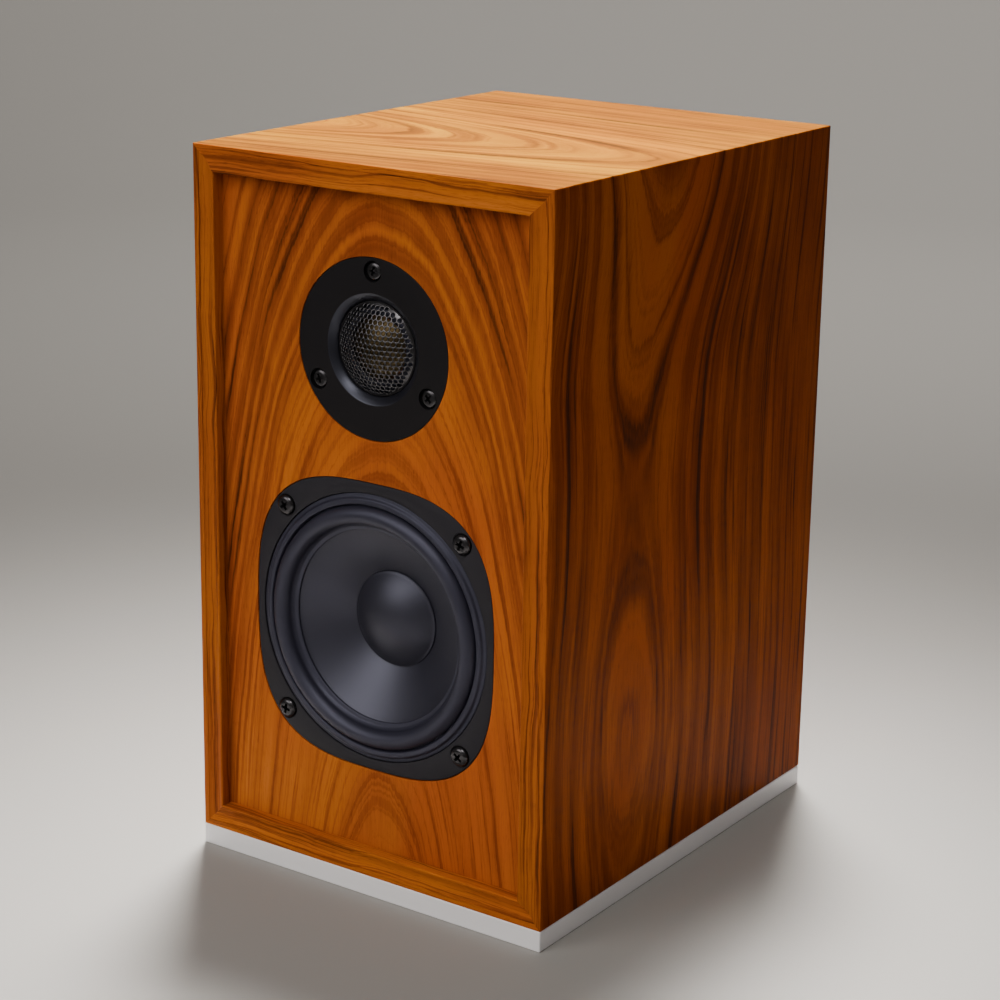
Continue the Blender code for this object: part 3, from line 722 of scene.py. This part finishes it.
def makeCabinet():
    # Each side is a panel and, in front of it, a moulding whose outer faces match the panel
    front, back = moulding["back"] + 0.01, cabinet["back"]
    wall = cabinet["wall"]
    section = [(0.0, front), (0.0, back), (wall, back), (wall, front)]
    # side: panel's node, moulding's node, moulding's finish, outward direction
    sides = {
        "bottom": ("cabinet_bottom", "frame_rail_bottom", "rail", (0, 0, -1)),
        "left": ("cabinet_side_left", "frame_stile_left", "stile", (-1, 0, 0)),
        "top": ("cabinet_top", "frame_rail_top", "rail", (0, 0, 1)),
        "right": ("cabinet_side_right", "frame_stile_right", "stile", (1, 0, 0)),
    }
    for side, (panelNode, barNode, face, outward) in sides.items():
        outside = finishes[side if side in ("top", "right") else "left"]
        panel = mitredBar(side + "Panel", section, side)
        obj = piece(side + "Panel", panel, [outside], "cabinet", panelNode)
        bar = mitredBar(side + "Moulding", mouldingSection(), side)
        obj = piece(side + "Moulding", bar, [finishes[face], outside], "cabinet", barNode)
        normals = np.empty(len(bar.polygons) * 3)
        bar.polygons.foreach_get("normal", normals)
        facesOut = normals.reshape(-1, 3) @ np.array(outward, float) > 0.9
        bar.polygons.foreach_set("material_index", facesOut.astype(np.int32))
    print("cabinet panels and mouldings made")


baffle = {
    "front": -103.0,
    "thickness": 18.0,
    "halfWidth": 77.78,
    "bottom": 20.3,
    "top": 298.08,
    "wooferSeat": 5.8,  # depths of the recesses that the drivers sit in
    "tweeterSeat": 5.4,
    "wooferHole": 52.6,
    "tweeterHole": 27.2,
}
woofer = {
    "z": 117.2,
    "halfWidth": 60.75,
    "halfHeight": 62.0,
    "power": 3.0,
    "screwOffset": 45.0,
    "screwTurns": (20.0, -35.0, 10.0, 40.0),
    "screwTop": -1.7,
    "screwSeat": (4.75, 0.9, 2.4),  # radius and depth of the head's seat, radius of the hole
    "gap": 0.3,
    # below, sections of (radius, depth) behind the baffle's face; the frame's wall is (change, depth)
    "wall": [(0.0, 4.0), (0.0, 0.55), (-0.16, 0.16), (-0.55, 0.0)],
    "bucket": [
        (58.1, 0.0), (57.6, 0.14), (57.45, 0.5), (57.45, 1.6), (50.5, 1.6), (50.5, 6.0), (50.0, 8.0),
        (40.5, 27.6), (36.2, 27.6), (36.2, 34.7), (30.0, 34.7), (30.0, 37.7), (44.0, 37.7),
        (44.0, 30.0), (52.0, 9.0), (52.0, 4.0),
    ],
    "windowLow": (-14, 12, -60),
    "windowHigh": (14, 25, 60),
    "lip": [(57.2, 1.3), (57.2, 0.55), (55.7, 0.35), (55.0, -0.8), (52.9, -0.8), (52.2, 0.9)],
    "inner": [(43.6, 1.5), (42.8, 2.35), (41.2, 2.75), (41.2, 3.5)],
    "roll": (48.0, 1.1, 4.0, 4.1),  # centre's radius and depth, then the ellipse's two radii
    "rollUnder": (48.0, 1.5, 3.3, 3.5),
    "rollInner": (43.4, 2.6),
    "rollOuter": (52.4, 1.5),
    "cone": [(42.6, 3.25), (38.0, 6.1), (29.0, 11.2), (20.5, 16.5), (16.6, 19.6)],
    "coneSkin": (-0.2, 0.7),
    "cap": (19.8, 15.5, 7.0),  # rim radius, rim depth and height
    "capSkin": 0.6,
    "capFoot": [(20.4, 15.7), (20.7, 16.2), (20.3, 16.35)],
    "spiderInner": 16.6,
    "spiderOuter": 39.8,
    "spiderDepth": 26.7,
    "spiderWave": 0.9,
    "spiderPitch": 4.2,
    "spiderFlat": 38.0,  # the waves fade out in the 2 mm inside this radius
    "spiderSkin": 0.6,
    "spiderBend": (37.0, 18.0),  # outer and inner radius between which it bends
}
tweeter = {
    "z": 234.6,
    "radius": 37.25,
    "screwCircle": 31.7,
    "screwTurns": (15.0, -20.0, 50.0),
    "screwTop": 0.3,
    "screwSeat": (4.35, 2.2, 2.0),
    "gap": 0.3,
    "section": [
        (22.8, 0.0), (37.25, 0.0), (37.25, 4.0), (26.2, 4.0),
        (26.2, 6.0), (19.6, 6.0), (19.6, 3.0), (20.9, 1.5),
    ],
    "sectionRounds": [0.6, 0.3, 0.2, 0.1, 0.1, 0.1, 0.8, 1.0],
    "pocketRadius": 22.9,
    "pocketDepth": (0.02, 3.5),
    "meshRim": [(18.3, 2.75), (19.3, 2.9), (19.3, 3.5), (18.3, 3.4)],
    "dome": (12.7, 5.0, 5.0),  # rim radius, rim depth and height
    "domeSkin": 0.3,
    "roll": (15.2, 4.6, 1.7, 1.0),
    "rollInner": (13.4, 4.7),
    "rollOuter": [(17.4, 4.7), (19.4, 5.0)],
    "rollSkin": 0.4,
    "bend": (17.0, 13.5),
}
screws = {
    # head radius, head height, shank radius, length
    "woofer": (4.3, 2.2, 2.0, 18.5),
    "tweeter": (3.9, 1.6, 1.6, 17.0),
    "terminal": (3.4, 1.9, 1.5, 12.5),
    "recess": (0.15, 0.56, 0.95),  # width and reach of the cross per head radius, depth per head height
}


def flangeRadius(grow, angle):
    # Distance from the centre to the rounded square |x/a|^n + |z/b|^n = 1 at each angle: the sum of
    # |cos/a|^n and |sin/b|^n, to the power -1/n
    a, b, n = woofer["halfWidth"] + grow, woofer["halfHeight"] + grow, woofer["power"]
    return (np.abs(np.cos(angle) / a) ** n + np.abs(np.sin(angle) / b) ** n) ** (-1.0 / n)


def makeBaffle():
    # A board less the two seats and the two holes behind them
    b = baffle
    face, half = b["front"], b["halfWidth"]
    board = boxMesh("baffle", (-half, face, b["bottom"]), (half, face + b["thickness"], b["top"]))
    steps = 240
    angle = np.arange(steps) * 2 * math.pi / steps
    seatEnd = face + b["wooferSeat"]
    profile = np.array([(0, face - 3), (1, face - 3), (1, seatEnd), (0, seatEnd)])
    radii = flangeRadius(woofer["gap"], angle)[:, None] * profile[None, :, 0]
    tweeterRadius = tweeter["radius"] + tweeter["gap"]
    tweeterEnd = face + b["tweeterSeat"]
    deep = face + 30
    tools = [
        turned("wooferSeat", profile, steps, z=woofer["z"], radii=radii),
        tubeMesh("wooferHole", b["wooferHole"], face - 4, deep, 0, woofer["z"]),
        tubeMesh("tweeterSeat", tweeterRadius, face - 3, tweeterEnd, 0, tweeter["z"], 180),
        tubeMesh("tweeterHole", b["tweeterHole"], face - 4, deep, 0, tweeter["z"]),
    ]
    obj = piece("baffle", carve(board, tools), [finishes["baffle"]], "cabinet", "front_baffle")
    print("baffle made")


def screwMesh(name, headRadius, headHeight, shankRadius, length):
    # A pan head with a cross recess: its crown is at y = 0 and the shank runs to y = length
    low, middle = (headRadius * 0.62, 0.03), (headRadius * 0.93, headHeight * 0.42)
    path = curveThrough([(0.0, 0.0), low, middle, (headRadius, headHeight)], 6)
    shank = np.array([(shankRadius, headHeight), (shankRadius, length - 1.5), (0.0, length)])
    head = turned(name, np.concatenate([path, shank]), 40)
    perWidth, perReach, perDepth = screws["recess"]
    width, reach, depth = headRadius * perWidth, headRadius * perReach, headHeight * perDepth
    tools = []
    for wide, tall in ((reach, width), (width, reach)):
        # each wing narrows towards its bottom
        corners = ((-wide, -tall), (wide, -tall), (wide, tall), (-wide, tall))
        topRing = np.array([(x, -0.5, z) for x, z in corners])
        lowRing = topRing * np.array([0.45 if wide > tall else 0.7, 1, 0.45 if tall > wide else 0.7])
        lowRing[:, 1] = depth
        tools.append(meshFrom("wing", np.concatenate([topRing, lowRing]), boxFaces))
    return carve(head, tools)


def cornersAround(x, z, centreZ=0.0):
    # The four corners of a rectangle, from the upper right round over the left
    return [(sx * x, centreZ + sz * z) for sx, sz in ((1, 1), (-1, 1), (-1, -1), (1, -1))]


def screwHoles(places, face, seatRadius, seatDepth, holeRadius):
    # For each screw a round seat for its head and a hole for its shank
    tools = []
    for x, z in places:
        tools.append(tubeMesh("seat", seatRadius, face - 1, face + seatDepth, x, z, 48))
        tools.append(tubeMesh("hole", holeRadius, face - 1, face + 8, x, z, 24))
    return tools


def placeScrews(stem, nodeStem, places, y, turns, outward=False):
    # One kind of screw at each (x, z), its recess turned by some degrees, its crown at y
    mesh = screwMesh(stem + "Screw", *screws[stem])
    for number, ((x, z), turn) in enumerate(zip(places, turns), 1):
        copy = mesh.copy()
        copy.transform(Matrix.Rotation(math.radians(turn), 4, "Y"))
        if outward:
            copy.transform(Matrix.Rotation(math.pi, 4, "Z"))
        copy.transform(Matrix.Translation((x * mm, y * mm, z * mm)))
        name, node = f"{stem}Screw{number}", f"{nodeStem}_{number}"
        obj = piece(name, copy, [finishes["blackScrew"]], "cabinet", node)


def bendBetweenRims(obj, body, outer, inner, centreZ):
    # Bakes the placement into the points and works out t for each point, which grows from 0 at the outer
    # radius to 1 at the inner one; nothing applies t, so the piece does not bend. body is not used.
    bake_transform(obj)
    spots = np.empty(len(obj.data.vertices) * 3)
    obj.data.vertices.foreach_get("co", spots)
    spots = spots.reshape(-1, 3) / mm
    radius = np.hypot(spots[:, 0], spots[:, 2] - centreZ)
    t = np.clip((outer - radius) / (outer - inner), 0.0, 1.0)


def makeWooferFrame():
    # For every angle the section runs from the rounded square's wall over the face, down the mouth
    # and the bucket, and back. A wall point's radius is the rounded square's plus its change, and the
    # others lie on circles.
    face, z = baffle["front"], woofer["z"]
    wall, bucket = np.array(woofer["wall"]), np.array(woofer["bucket"])
    steps = 240
    angle = np.arange(steps) * 2 * math.pi / steps
    wallRadii = flangeRadius(0.0, angle)[:, None] + wall[None, :, 0]
    bucketRadii = np.broadcast_to(bucket[None, :, 0], (steps, len(bucket)))
    radii = np.concatenate([wallRadii, bucketRadii], axis=1)
    profile = np.concatenate([wall, bucket])
    profile[:, 0] = 1.0  # any radius off the axis; the true ones are in radii
    mesh = turned("wooferFrame", profile, steps, 0.0, face, z, radii)
    tools = []
    for turn in (0.0, 60.0, 120.0):
        window = boxMesh("window", woofer["windowLow"], woofer["windowHigh"])
        window.transform(Matrix.Rotation(math.radians(turn), 4, "Y"))
        window.transform(Matrix.Translation((0.0, face * mm, z * mm)))
        tools.append(window)
    tools += screwHoles(wooferScrewPlaces(), face, *woofer["screwSeat"])
    obj = piece("wooferFrame", carve(mesh, tools), [finishes["flange"]], "cabinet", "woofer_basket")


def wooferScrewPlaces():
    # the corners of a square
    return cornersAround(woofer["screwOffset"], woofer["screwOffset"], woofer["z"])


def tweeterScrewPlaces():
    # three points of a circle: r cos a, centre + r sin a
    angle = np.radians([90.0, 210.0, 330.0])
    r = tweeter["screwCircle"]
    return list(zip(r * np.cos(angle), tweeter["z"] + r * np.sin(angle)))


def makeWoofer():
    # Sections of (radius, depth) turned about the driver's axis
    face, z = baffle["front"], woofer["z"]
    makeWooferFrame()

    # the surround: a lip, half an ellipse as its roll, and an inner foot; the underside runs back
    lip = rounded(woofer["lip"], 0.5, 5, False)
    roll = arc(*woofer["roll"], 4.0, 176.0, 25)
    inner = rounded(woofer["inner"], 0.35, 4, False)
    under = arc(*woofer["rollUnder"], 176.0, 4.0, 25)
    innerEnd, outerEnd = woofer["rollInner"], woofer["rollOuter"]
    section = np.concatenate([lip, roll, inner, [innerEnd], under, [outerEnd]])
    mesh = turned("wooferSurround", section, 180, 0.0, face, z)
    obj = piece("wooferSurround", mesh, [finishes["surround"]], None, "woofer_surround")
    bendBetweenRims(obj, "woofer_diaphragm", outerEnd[0], innerEnd[0], z)

    wall = curveThrough(woofer["cone"], 10)
    behind = wall[::-1] + np.array(woofer["coneSkin"])
    mesh = turned("wooferCone", np.concatenate([wall, behind]), 180, 0.0, face, z)
    obj = piece("wooferCone", mesh, [finishes["cone"]], "woofer_diaphragm", "woofer_cone")

    outside = capPoints(*woofer["cap"], 0.0, 26)
    inside = capPoints(*woofer["cap"], woofer["capSkin"], 26)[::-1]
    mesh = turned("dustCap", np.concatenate([outside, woofer["capFoot"], inside]), 128, 0.0, face, z)
    obj = piece("dustCap", mesh, [finishes["dustCap"]], "woofer_diaphragm", "woofer_dust_cap")

    # the spider: a sheet whose depth is a sine of the radius, flat near its outer rim
    start, pitch = woofer["spiderInner"], woofer["spiderPitch"]
    radius = np.linspace(start, woofer["spiderOuter"], 120)
    fade = np.clip((woofer["spiderFlat"] - radius) / 2.0, 0.0, 1.0)
    wave = woofer["spiderWave"] * np.sin((radius - start) * 2 * math.pi / pitch) * fade
    upper = np.stack([radius, woofer["spiderDepth"] + wave], axis=-1)
    section = np.concatenate([upper, upper[::-1] + np.array([0.0, woofer["spiderSkin"]])])
    mesh = turned("wooferSpider", section, 96, 0.0, face, z)
    obj = piece("wooferSpider", mesh, [finishes["cloth"]], None, "woofer_spider")
    bendBetweenRims(obj, "woofer_diaphragm", *woofer["spiderBend"], z)

    top = face + woofer["screwTop"]
    placeScrews("woofer", "woofer_screw", wooferScrewPlaces(), top, woofer["screwTurns"])
    print("woofer made")


def capPoints(rimRadius, rimDepth, height, skin, count):
    # A sphere through the rim and the crown: r = R sin a, depth = rim - height + R - R cos a
    ball = (rimRadius**2 + height**2) / (2 * height)
    angle = np.linspace(0.0, math.asin(rimRadius / ball), count)
    size = ball - skin
    return np.stack([size * np.sin(angle), rimDepth - height + ball - size * np.cos(angle)], axis=-1)


def perforatedDome(name, y, z, rim, depth, height, pitch, hole, land, sides):
    # Hexagonal cells on a plane, each a ring of quads from its hole to its edge, drawn onto a dome:
    # a point at distance q from the axis goes to the sphere at the arc length q. Points past the rim
    # stop on it, and a cell too near the rim keeps no hole.
    count = int(rim / pitch) + 3
    column, row = np.meshgrid(np.arange(-count, count + 1), np.arange(-count, count + 1))
    centreX = (column + 0.5 * (row % 2)) * pitch
    centreZ = row * pitch * math.sqrt(3) / 2
    centres = np.stack([centreX.ravel(), centreZ.ravel()], axis=-1)
    distance = np.hypot(centres[:, 0], centres[:, 1])
    near = distance < rim + pitch * 0.6
    centres, distance = centres[near], distance[near]
    angle = math.pi / 6 + np.arange(sides) * 2 * math.pi / sides
    fold = (angle - math.pi / 6) % (math.pi / 3)
    edge = pitch / 2 / np.cos(math.pi / 6 - np.minimum(fold, math.pi / 3 - fold))
    direction = np.stack([np.cos(angle), np.sin(angle)], axis=-1)
    border = centres[:, None, :] + direction[None] * edge[None, :, None]
    rings = centres[:, None, :] + direction[None] * hole
    pierced = distance < rim - hole - land
    rings = np.where(pierced[:, None, None], rings, centres[:, None, :])
    flat = np.concatenate([border, rings], axis=1)
    q = np.linalg.norm(flat, axis=-1, keepdims=True)
    flat = np.where(q > rim, flat * (rim / np.maximum(q, 1e-9)), flat)
    q = np.minimum(q[..., 0], rim)
    ball = (rim**2 + height**2) / (2 * height)
    rimAngle = math.asin(rim / ball)
    tilt = q / rim * rimAngle
    scale = ball * np.sin(tilt) / np.maximum(q, 1e-9)
    points = np.stack([
        flat[..., 0] * scale,
        y + depth - height + ball * (1 - np.cos(tilt)),
        z + flat[..., 1] * scale,
    ], axis=-1)
    start = np.arange(len(centres))[:, None] * 2 * sides
    k = np.arange(sides)[None, :]
    following = (k + 1) % sides
    quads = np.stack([start + k, start + following, start + sides + following, start + sides + k], axis=-1)
    return meshFrom(name, points.reshape(-1, 3), quads.reshape(-1, 4))


grille = {
    "rim": 18.9,
    "depth": 3.0,
    "height": 6.7,
    "pitch": 2.15,
    "hole": 0.84,
    "land": 0.25,  # least metal between a hole and the rim
    "sides": 12,
}
sheetThickness = 0.4


def makeTweeter():
    # Sections of (radius, depth) turned about the driver's axis, and a perforated dome as the mesh
    face, z = baffle["front"], tweeter["z"]
    section = rounded(tweeter["section"], tweeter["sectionRounds"], 7)
    mesh = turned("tweeterFaceplate", section, 200, 0.0, face, z)
    mesh = carve(mesh, screwHoles(tweeterScrewPlaces(), face, *tweeter["screwSeat"]))
    # the pocket round the dome takes the glossy finish
    spots = np.zeros(len(mesh.polygons) * 3)
    mesh.polygons.foreach_get("center", spots)
    spots = spots.reshape(-1, 3) / mm
    reach = np.hypot(spots[:, 0], spots[:, 2] - z)
    low, high = tweeter["pocketDepth"]
    pocket = (reach < tweeter["pocketRadius"]) & (spots[:, 1] > face + low) & (spots[:, 1] < face + high)
    mesh.polygons.foreach_set("material_index", pocket.astype(np.int32))
    plateFinishes = [finishes["faceplate"], finishes["pocket"]]
    obj = piece("tweeterFaceplate", mesh, plateFinishes, "cabinet", "tweeter_faceplate")

    mesh = perforatedDome("tweeterMesh", face, z, **grille)
    obj = piece("tweeterMesh", mesh, [finishes["mesh"]], "cabinet", "tweeter_mesh")
    wall = obj.modifiers.new("sheet", "SOLIDIFY")
    wall.thickness = sheetThickness * mm
    wall.offset = -1.0
    mesh = turned("tweeterMeshRim", rounded(tweeter["meshRim"], 0.2, 4), 128, 0.0, face, z)
    obj = piece("tweeterMeshRim", mesh, [finishes["faceplate"]], "cabinet")

    outside = capPoints(*tweeter["dome"], 0.0, 24)
    inside = capPoints(*tweeter["dome"], tweeter["domeSkin"], 24)[::-1]
    mesh = turned("tweeterDome", np.concatenate([outside, inside]), 96, 0.0, face, z)
    obj = piece("tweeterDome", mesh, [finishes["dome"]], "tweeter_diaphragm", "tweeter_dome")

    roll = arc(*tweeter["roll"], 180.0, 0.0, 16)
    upper = np.concatenate([[tweeter["rollInner"]], roll, tweeter["rollOuter"]])
    section = np.concatenate([upper, upper[::-1] + np.array([0.0, tweeter["rollSkin"]])])
    mesh = turned("tweeterSurround", section, 96, 0.0, face, z)
    obj = piece("tweeterSurround", mesh, [finishes["surround"]], None, "tweeter_surround")
    bendBetweenRims(obj, "tweeter_diaphragm", *tweeter["bend"], z)

    top = face + tweeter["screwTop"]
    placeScrews("tweeter", "tweeter_screw", tweeterScrewPlaces(), top, tweeter["screwTurns"])
    print("tweeter made")


rear = {
    "face": 106.0,
    "portZ": 235.0,
    "portRim": [(21.0, 0.3), (29.0, 0.3), (29.0, 2.1), (28.2, 2.9)],
    "portEnd": -95.0,
    "plateZ": 58.0,
    "plateOuter": 109.3,
    "plateHalfWidth": 42.0,
    "plateHalfHeight": 27.0,
    "plateCorner": 7.0,
    "plateDepths": (0.0, 2.3, 2.8, 3.0),
    "plateInsets": (0.0, 0.0, 0.18, 0.65),
    "screwX": 35.0,
    "screwZ": 20.0,
    "screwTurns": (12, 47, -20, 33),
    "screwTop": 2.2,
    "screwHole": 1.9,
    "postX": 9.5,
    "postHole": 3.4,
    "flare": (25.0, -3.1, 6.0, -6.0),
    "plateGap": 0.3,
}
post = {
    # sections of (radius, depth) outwards from the terminal plate's face
    "stud": [
        (0.0, -13.0), (3.0, -13.0), (3.0, -6.5), (5.5, -6.5), (5.5, -3.4), (3.0, -3.4), (3.0, 0.3),
        (6.5, 0.3), (6.5, 2.3), (3.0, 2.3), (3.0, 18.0), (2.1, 18.0), (2.1, 4.0), (0.0, 4.0),
    ],
    "washer": [(3.4, 2.6), (6.0, 2.6), (6.0, 3.6), (3.4, 3.6)],
    "cap": [
        (3.5, 3.9), (6.6, 3.9), (7.0, 4.5), (7.0, 19.4),
        (6.2, 20.4), (2.3, 20.4), (2.3, 18.6), (3.5, 18.6),
    ],
    "flutes": 18,
    "fluteDepth": 0.42,
    "fluteStart": 5.0,
    "fluteEnd": 18.8,
    "fluteFade": 1.2,
    "rings": 14,
    "steps": 216,
}


def makeRear():
    # The port is a rim, a quarter circle as its flare and a tube, turned about its axis
    flare = arc(*rear["flare"], 90.0, 180.0, 14)
    end = [(19.0, rear["portEnd"]), (21.0, rear["portEnd"])]
    section = np.concatenate([rounded(rear["portRim"], 0.4, 5, False), flare, end])
    mesh = turned("portTube", section, 128, 0.0, rear["face"], rear["portZ"])
    obj = piece("portTube", mesh, [finishes["moulded"]], "cabinet", "port_tube")

    # the plate: a rounded rectangle at four depths, drawn in by the inset over its half size
    halfWidth, halfHeight = rear["plateHalfWidth"], rear["plateHalfHeight"]
    corners = cornersAround(halfWidth, halfHeight)
    corner = rounded(corners[2:] + corners[:2], rear["plateCorner"], 12)
    inset = np.array(rear["plateInsets"])
    shrink = 1.0 - inset[:, None, None] / np.abs(corner).max(axis=0)[None, None, :]
    outline = corner[None] * shrink + np.array([0.0, rear["plateZ"]])
    levels = rear["face"] + rear["plateGap"] + np.array(rear["plateDepths"])
    plate = prismMesh("terminalPlate", outline, levels)
    places = cornersAround(rear["screwX"], rear["screwZ"], rear["plateZ"])
    tools = [tubeMesh("hole", rear["screwHole"], 100, 115, x, z, 24) for x, z in places]
    for side in (-1, 1):
        x = side * rear["postX"]
        tools.append(tubeMesh("hole", rear["postHole"], 100, 115, x, rear["plateZ"], 32))
    obj = piece("terminalPlate", carve(plate, tools), [finishes["moulded"]], "cabinet", "terminal_plate")
    top = rear["plateOuter"] + rear["screwTop"]
    placeScrews("terminal", "terminal_screw", places, top, rear["screwTurns"], True)

    for side, tone in ((-1, "black"), (1, "red")):
        makePost(side * rear["postX"], tone)
    print("rear made")


def makePost(x, tone):
    # Stud, washer and cap are sections turned about the post's axis
    place = (x, rear["plateOuter"], rear["plateZ"])
    title = tone.capitalize()
    mesh = turned("postStud" + title, rounded(post["stud"], 0.25, 4, False), 48, *place)
    obj = piece("postStud" + title, mesh, [finishes["gilt"]], "cabinet", "binding_post_stud_" + tone)
    mesh = turned("postWasher" + title, rounded(post["washer"], 0.2, 4), 48, *place)
    washer = "binding_post_washer_" + tone
    obj = piece("postWasher" + title, mesh, [finishes["gilt"]], washer, washer)
    # the cap's wall carries flutes: the radius falls by the flute's depth x (1/2 + 1/2 cos(18 a))
    # squared, and less near the wall's two ends
    section = rounded(post["cap"], 0.35, 4)
    wallRadius = post["cap"][2][0]
    heights = np.linspace(post["fluteStart"] + 0.4, post["fluteEnd"] - 0.4, post["rings"])
    wall = np.stack([np.full(post["rings"], wallRadius), heights], axis=-1)
    after = int(np.argmax(section[:, 1] > 12.0))
    profile = np.concatenate([section[:after], wall, section[after:]])
    angle = np.arange(post["steps"]) * 2 * math.pi / post["steps"]
    ends = np.minimum(profile[:, 1] - post["fluteStart"], post["fluteEnd"] - profile[:, 1])
    depth = np.clip(ends / post["fluteFade"], 0.0, 1.0) * (profile[:, 0] > wallRadius - 0.1)
    flute = post["fluteDepth"] * (0.5 + 0.5 * np.cos(post["flutes"] * angle)) ** 2
    radii = profile[None, :, 0] - flute[:, None] * depth[None, :]
    mesh = turned("postCap" + title, profile, post["steps"], *place, radii)
    cap = "binding_post_cap_" + tone
    obj = piece("postCap" + title, mesh, [finishes[tone + "Cap"]], cap, cap)


def finishFrameNodes():
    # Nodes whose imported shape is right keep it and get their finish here
    wanted = {
        "plate": ["base_plate"],
        "rear": ["rear_panel"],
        "plywood": ["internal_brace"],
        "foam": ["damping_foam"],
        "moulded": ["woofer_gasket", "tweeter_gasket"],
        "copper": ["woofer_voice_coil", "tweeter_voice_coil", "woofer_inductor", "tweeter_inductor"],
        "steel": ["woofer_top_plate", "woofer_yoke", "tweeter_top_plate", "tweeter_yoke"],
        "ferrite": ["woofer_magnet", "tweeter_magnet"],
        "board": ["crossover_board"],
        "film": ["capacitor_large", "capacitor_small"],
        "brightScrew": [f"base_plate_screw_{i}" for i in (1, 2, 3, 4)],
    }
    for finish, names in wanted.items():
        for name in names:
            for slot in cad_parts[name].material_slots:
                slot.material = finishes[finish]
    print("frame nodes finished")


studio = {
    "floorRadius": 2.6,
    "wallHeight": 2.4,
    "floorTone": colour(0.34, 0.33, 0.315),
    "floorRoughness": 0.85,
    "lightTone": (1.0, 0.96, 0.91),
    "worldTone": colour(1.0, 0.97, 0.94),
    "worldStrength": 0.05,
}
lights = {
    # place, aim, size, power, spread in degrees
    "keyLight": ((-0.7, -1.75, 1.2), (0, -0.1, 0.12), 1.4, 3.2, 60.0),
    "fillLight": ((0.30, -1.05, 1.50), (0, -0.1, 0.18), 0.6, 1.15, 60.0),
    "topLight": ((-0.35, 0.6, 1.85), (0, 0.0, 0.3), 0.5, 5.3, 26.0),
    "sideLight": ((2.1, 0.6, 1.0), (0.1, 0, 0.16), 1.0, 0.12, 60.0),
    "wallLight": ((-0.3, 0.9, 1.6), (-1.2, 2.4, 0.1), 1.4, 34.0, 170.0),
    "frontWallLight": ((0.5, -1.5, 1.7), (0.9, -2.5, 0.2), 1.4, 12.0, 170.0),
}


def makeStudio():
    # A round pale floor whose rim curves up into a wall: profile turned about the upright axis
    flat, high = studio["floorRadius"], studio["wallHeight"]
    steps = 96
    bend = np.radians(np.linspace(0.0, 90.0, 24))
    r = np.concatenate([[0.0, 0.4, 0.8], flat - 1.0 + np.sin(bend), [flat]])
    h = np.concatenate([[0.0, 0.0, 0.0], 1.0 - np.cos(bend), [high]])
    angle = np.arange(steps)[:, None] * 2 * math.pi / steps
    heights = np.broadcast_to(h, (steps, len(r)))
    points = np.stack([r * np.cos(angle), r * np.sin(angle), heights], axis=-1).reshape(-1, 3)
    faces = gridFaces(steps, len(r), True, False)[:, ::-1]
    mesh = bpy.data.meshes.new("studioFloor")
    mesh.from_pydata(points.tolist(), [], faces.tolist())
    mesh.shade_smooth()
    floor = bpy.data.objects.new("studioFloor", mesh)
    bpy.context.scene.collection.objects.link(floor)
    paint = Paint("paleFloor")
    mesh.materials.append(paint.surface(baseColor=studio["floorTone"], roughness=studio["floorRoughness"]))

    world = bpy.data.worlds.new("studioWorld")
    world.use_nodes = True
    back = world.node_tree.nodes["Background"]
    back.inputs["Color"].default_value = studio["worldTone"]
    back.inputs["Strength"].default_value = studio["worldStrength"]
    bpy.context.scene.world = world

    for name, values in lights.items():
        addLight(name, *values)
    print("studio made")


def addLight(name, place, aim, size, power, spread):
    # A square light that faces its aim
    data = bpy.data.lights.new(name, "AREA")
    data.shape = "SQUARE"
    data.size = size
    data.energy = power
    data.spread = math.radians(spread)
    data.color = studio["lightTone"]
    lamp = bpy.data.objects.new(name, data)
    bpy.context.scene.collection.objects.link(lamp)
    away = np.array(place, float) - np.array(aim, float)
    away /= np.linalg.norm(away)
    right = np.cross((0.0, 0.0, 1.0), away)
    right /= np.linalg.norm(right)
    turn = np.stack([right, np.cross(away, right), away], axis=1)
    lamp.matrix_world = Matrix.Translation(place) @ Matrix(turn.tolist()).to_4x4()


viewpoint = {
    "place": (0.5921, -0.8661, 0.4625),
    "azimuth": 35.047,
    "elevation": 15.665,
    "roll": 0.798,
    "lens": 89.72,
    "shift": (0.012, -0.045),
}


def makeCamera():
    # Looks from its place against the direction of azimuth and elevation, then rolls
    data = bpy.data.cameras.new("camera")
    data.lens = viewpoint["lens"]
    data.sensor_width = 36.0
    data.shift_x, data.shift_y = viewpoint["shift"]
    data.clip_start = 0.05
    camera = bpy.data.objects.new("camera", data)
    bpy.context.scene.collection.objects.link(camera)
    a, e, roll = (math.radians(viewpoint[key]) for key in ("azimuth", "elevation", "roll"))
    back = np.array([math.sin(a) * math.cos(e), -math.cos(a) * math.cos(e), math.sin(e)])
    right = np.cross((0.0, 0.0, 1.0), back)
    right /= np.linalg.norm(right)
    up = np.cross(back, right)
    across = right * math.cos(roll) + up * math.sin(roll)
    upward = up * math.cos(roll) - right * math.sin(roll)
    turn = Matrix(np.stack([across, upward, back], axis=1).tolist()).to_4x4()
    camera.matrix_world = Matrix.Translation(viewpoint["place"]) @ turn
    bpy.context.scene.camera = camera


makeCamera()
makeStudio()
finishes = makeFinishes()
print("finishes made")
makeCabinet()
makeBaffle()
makeWoofer()
makeTweeter()
makeRear()
finishFrameNodes()
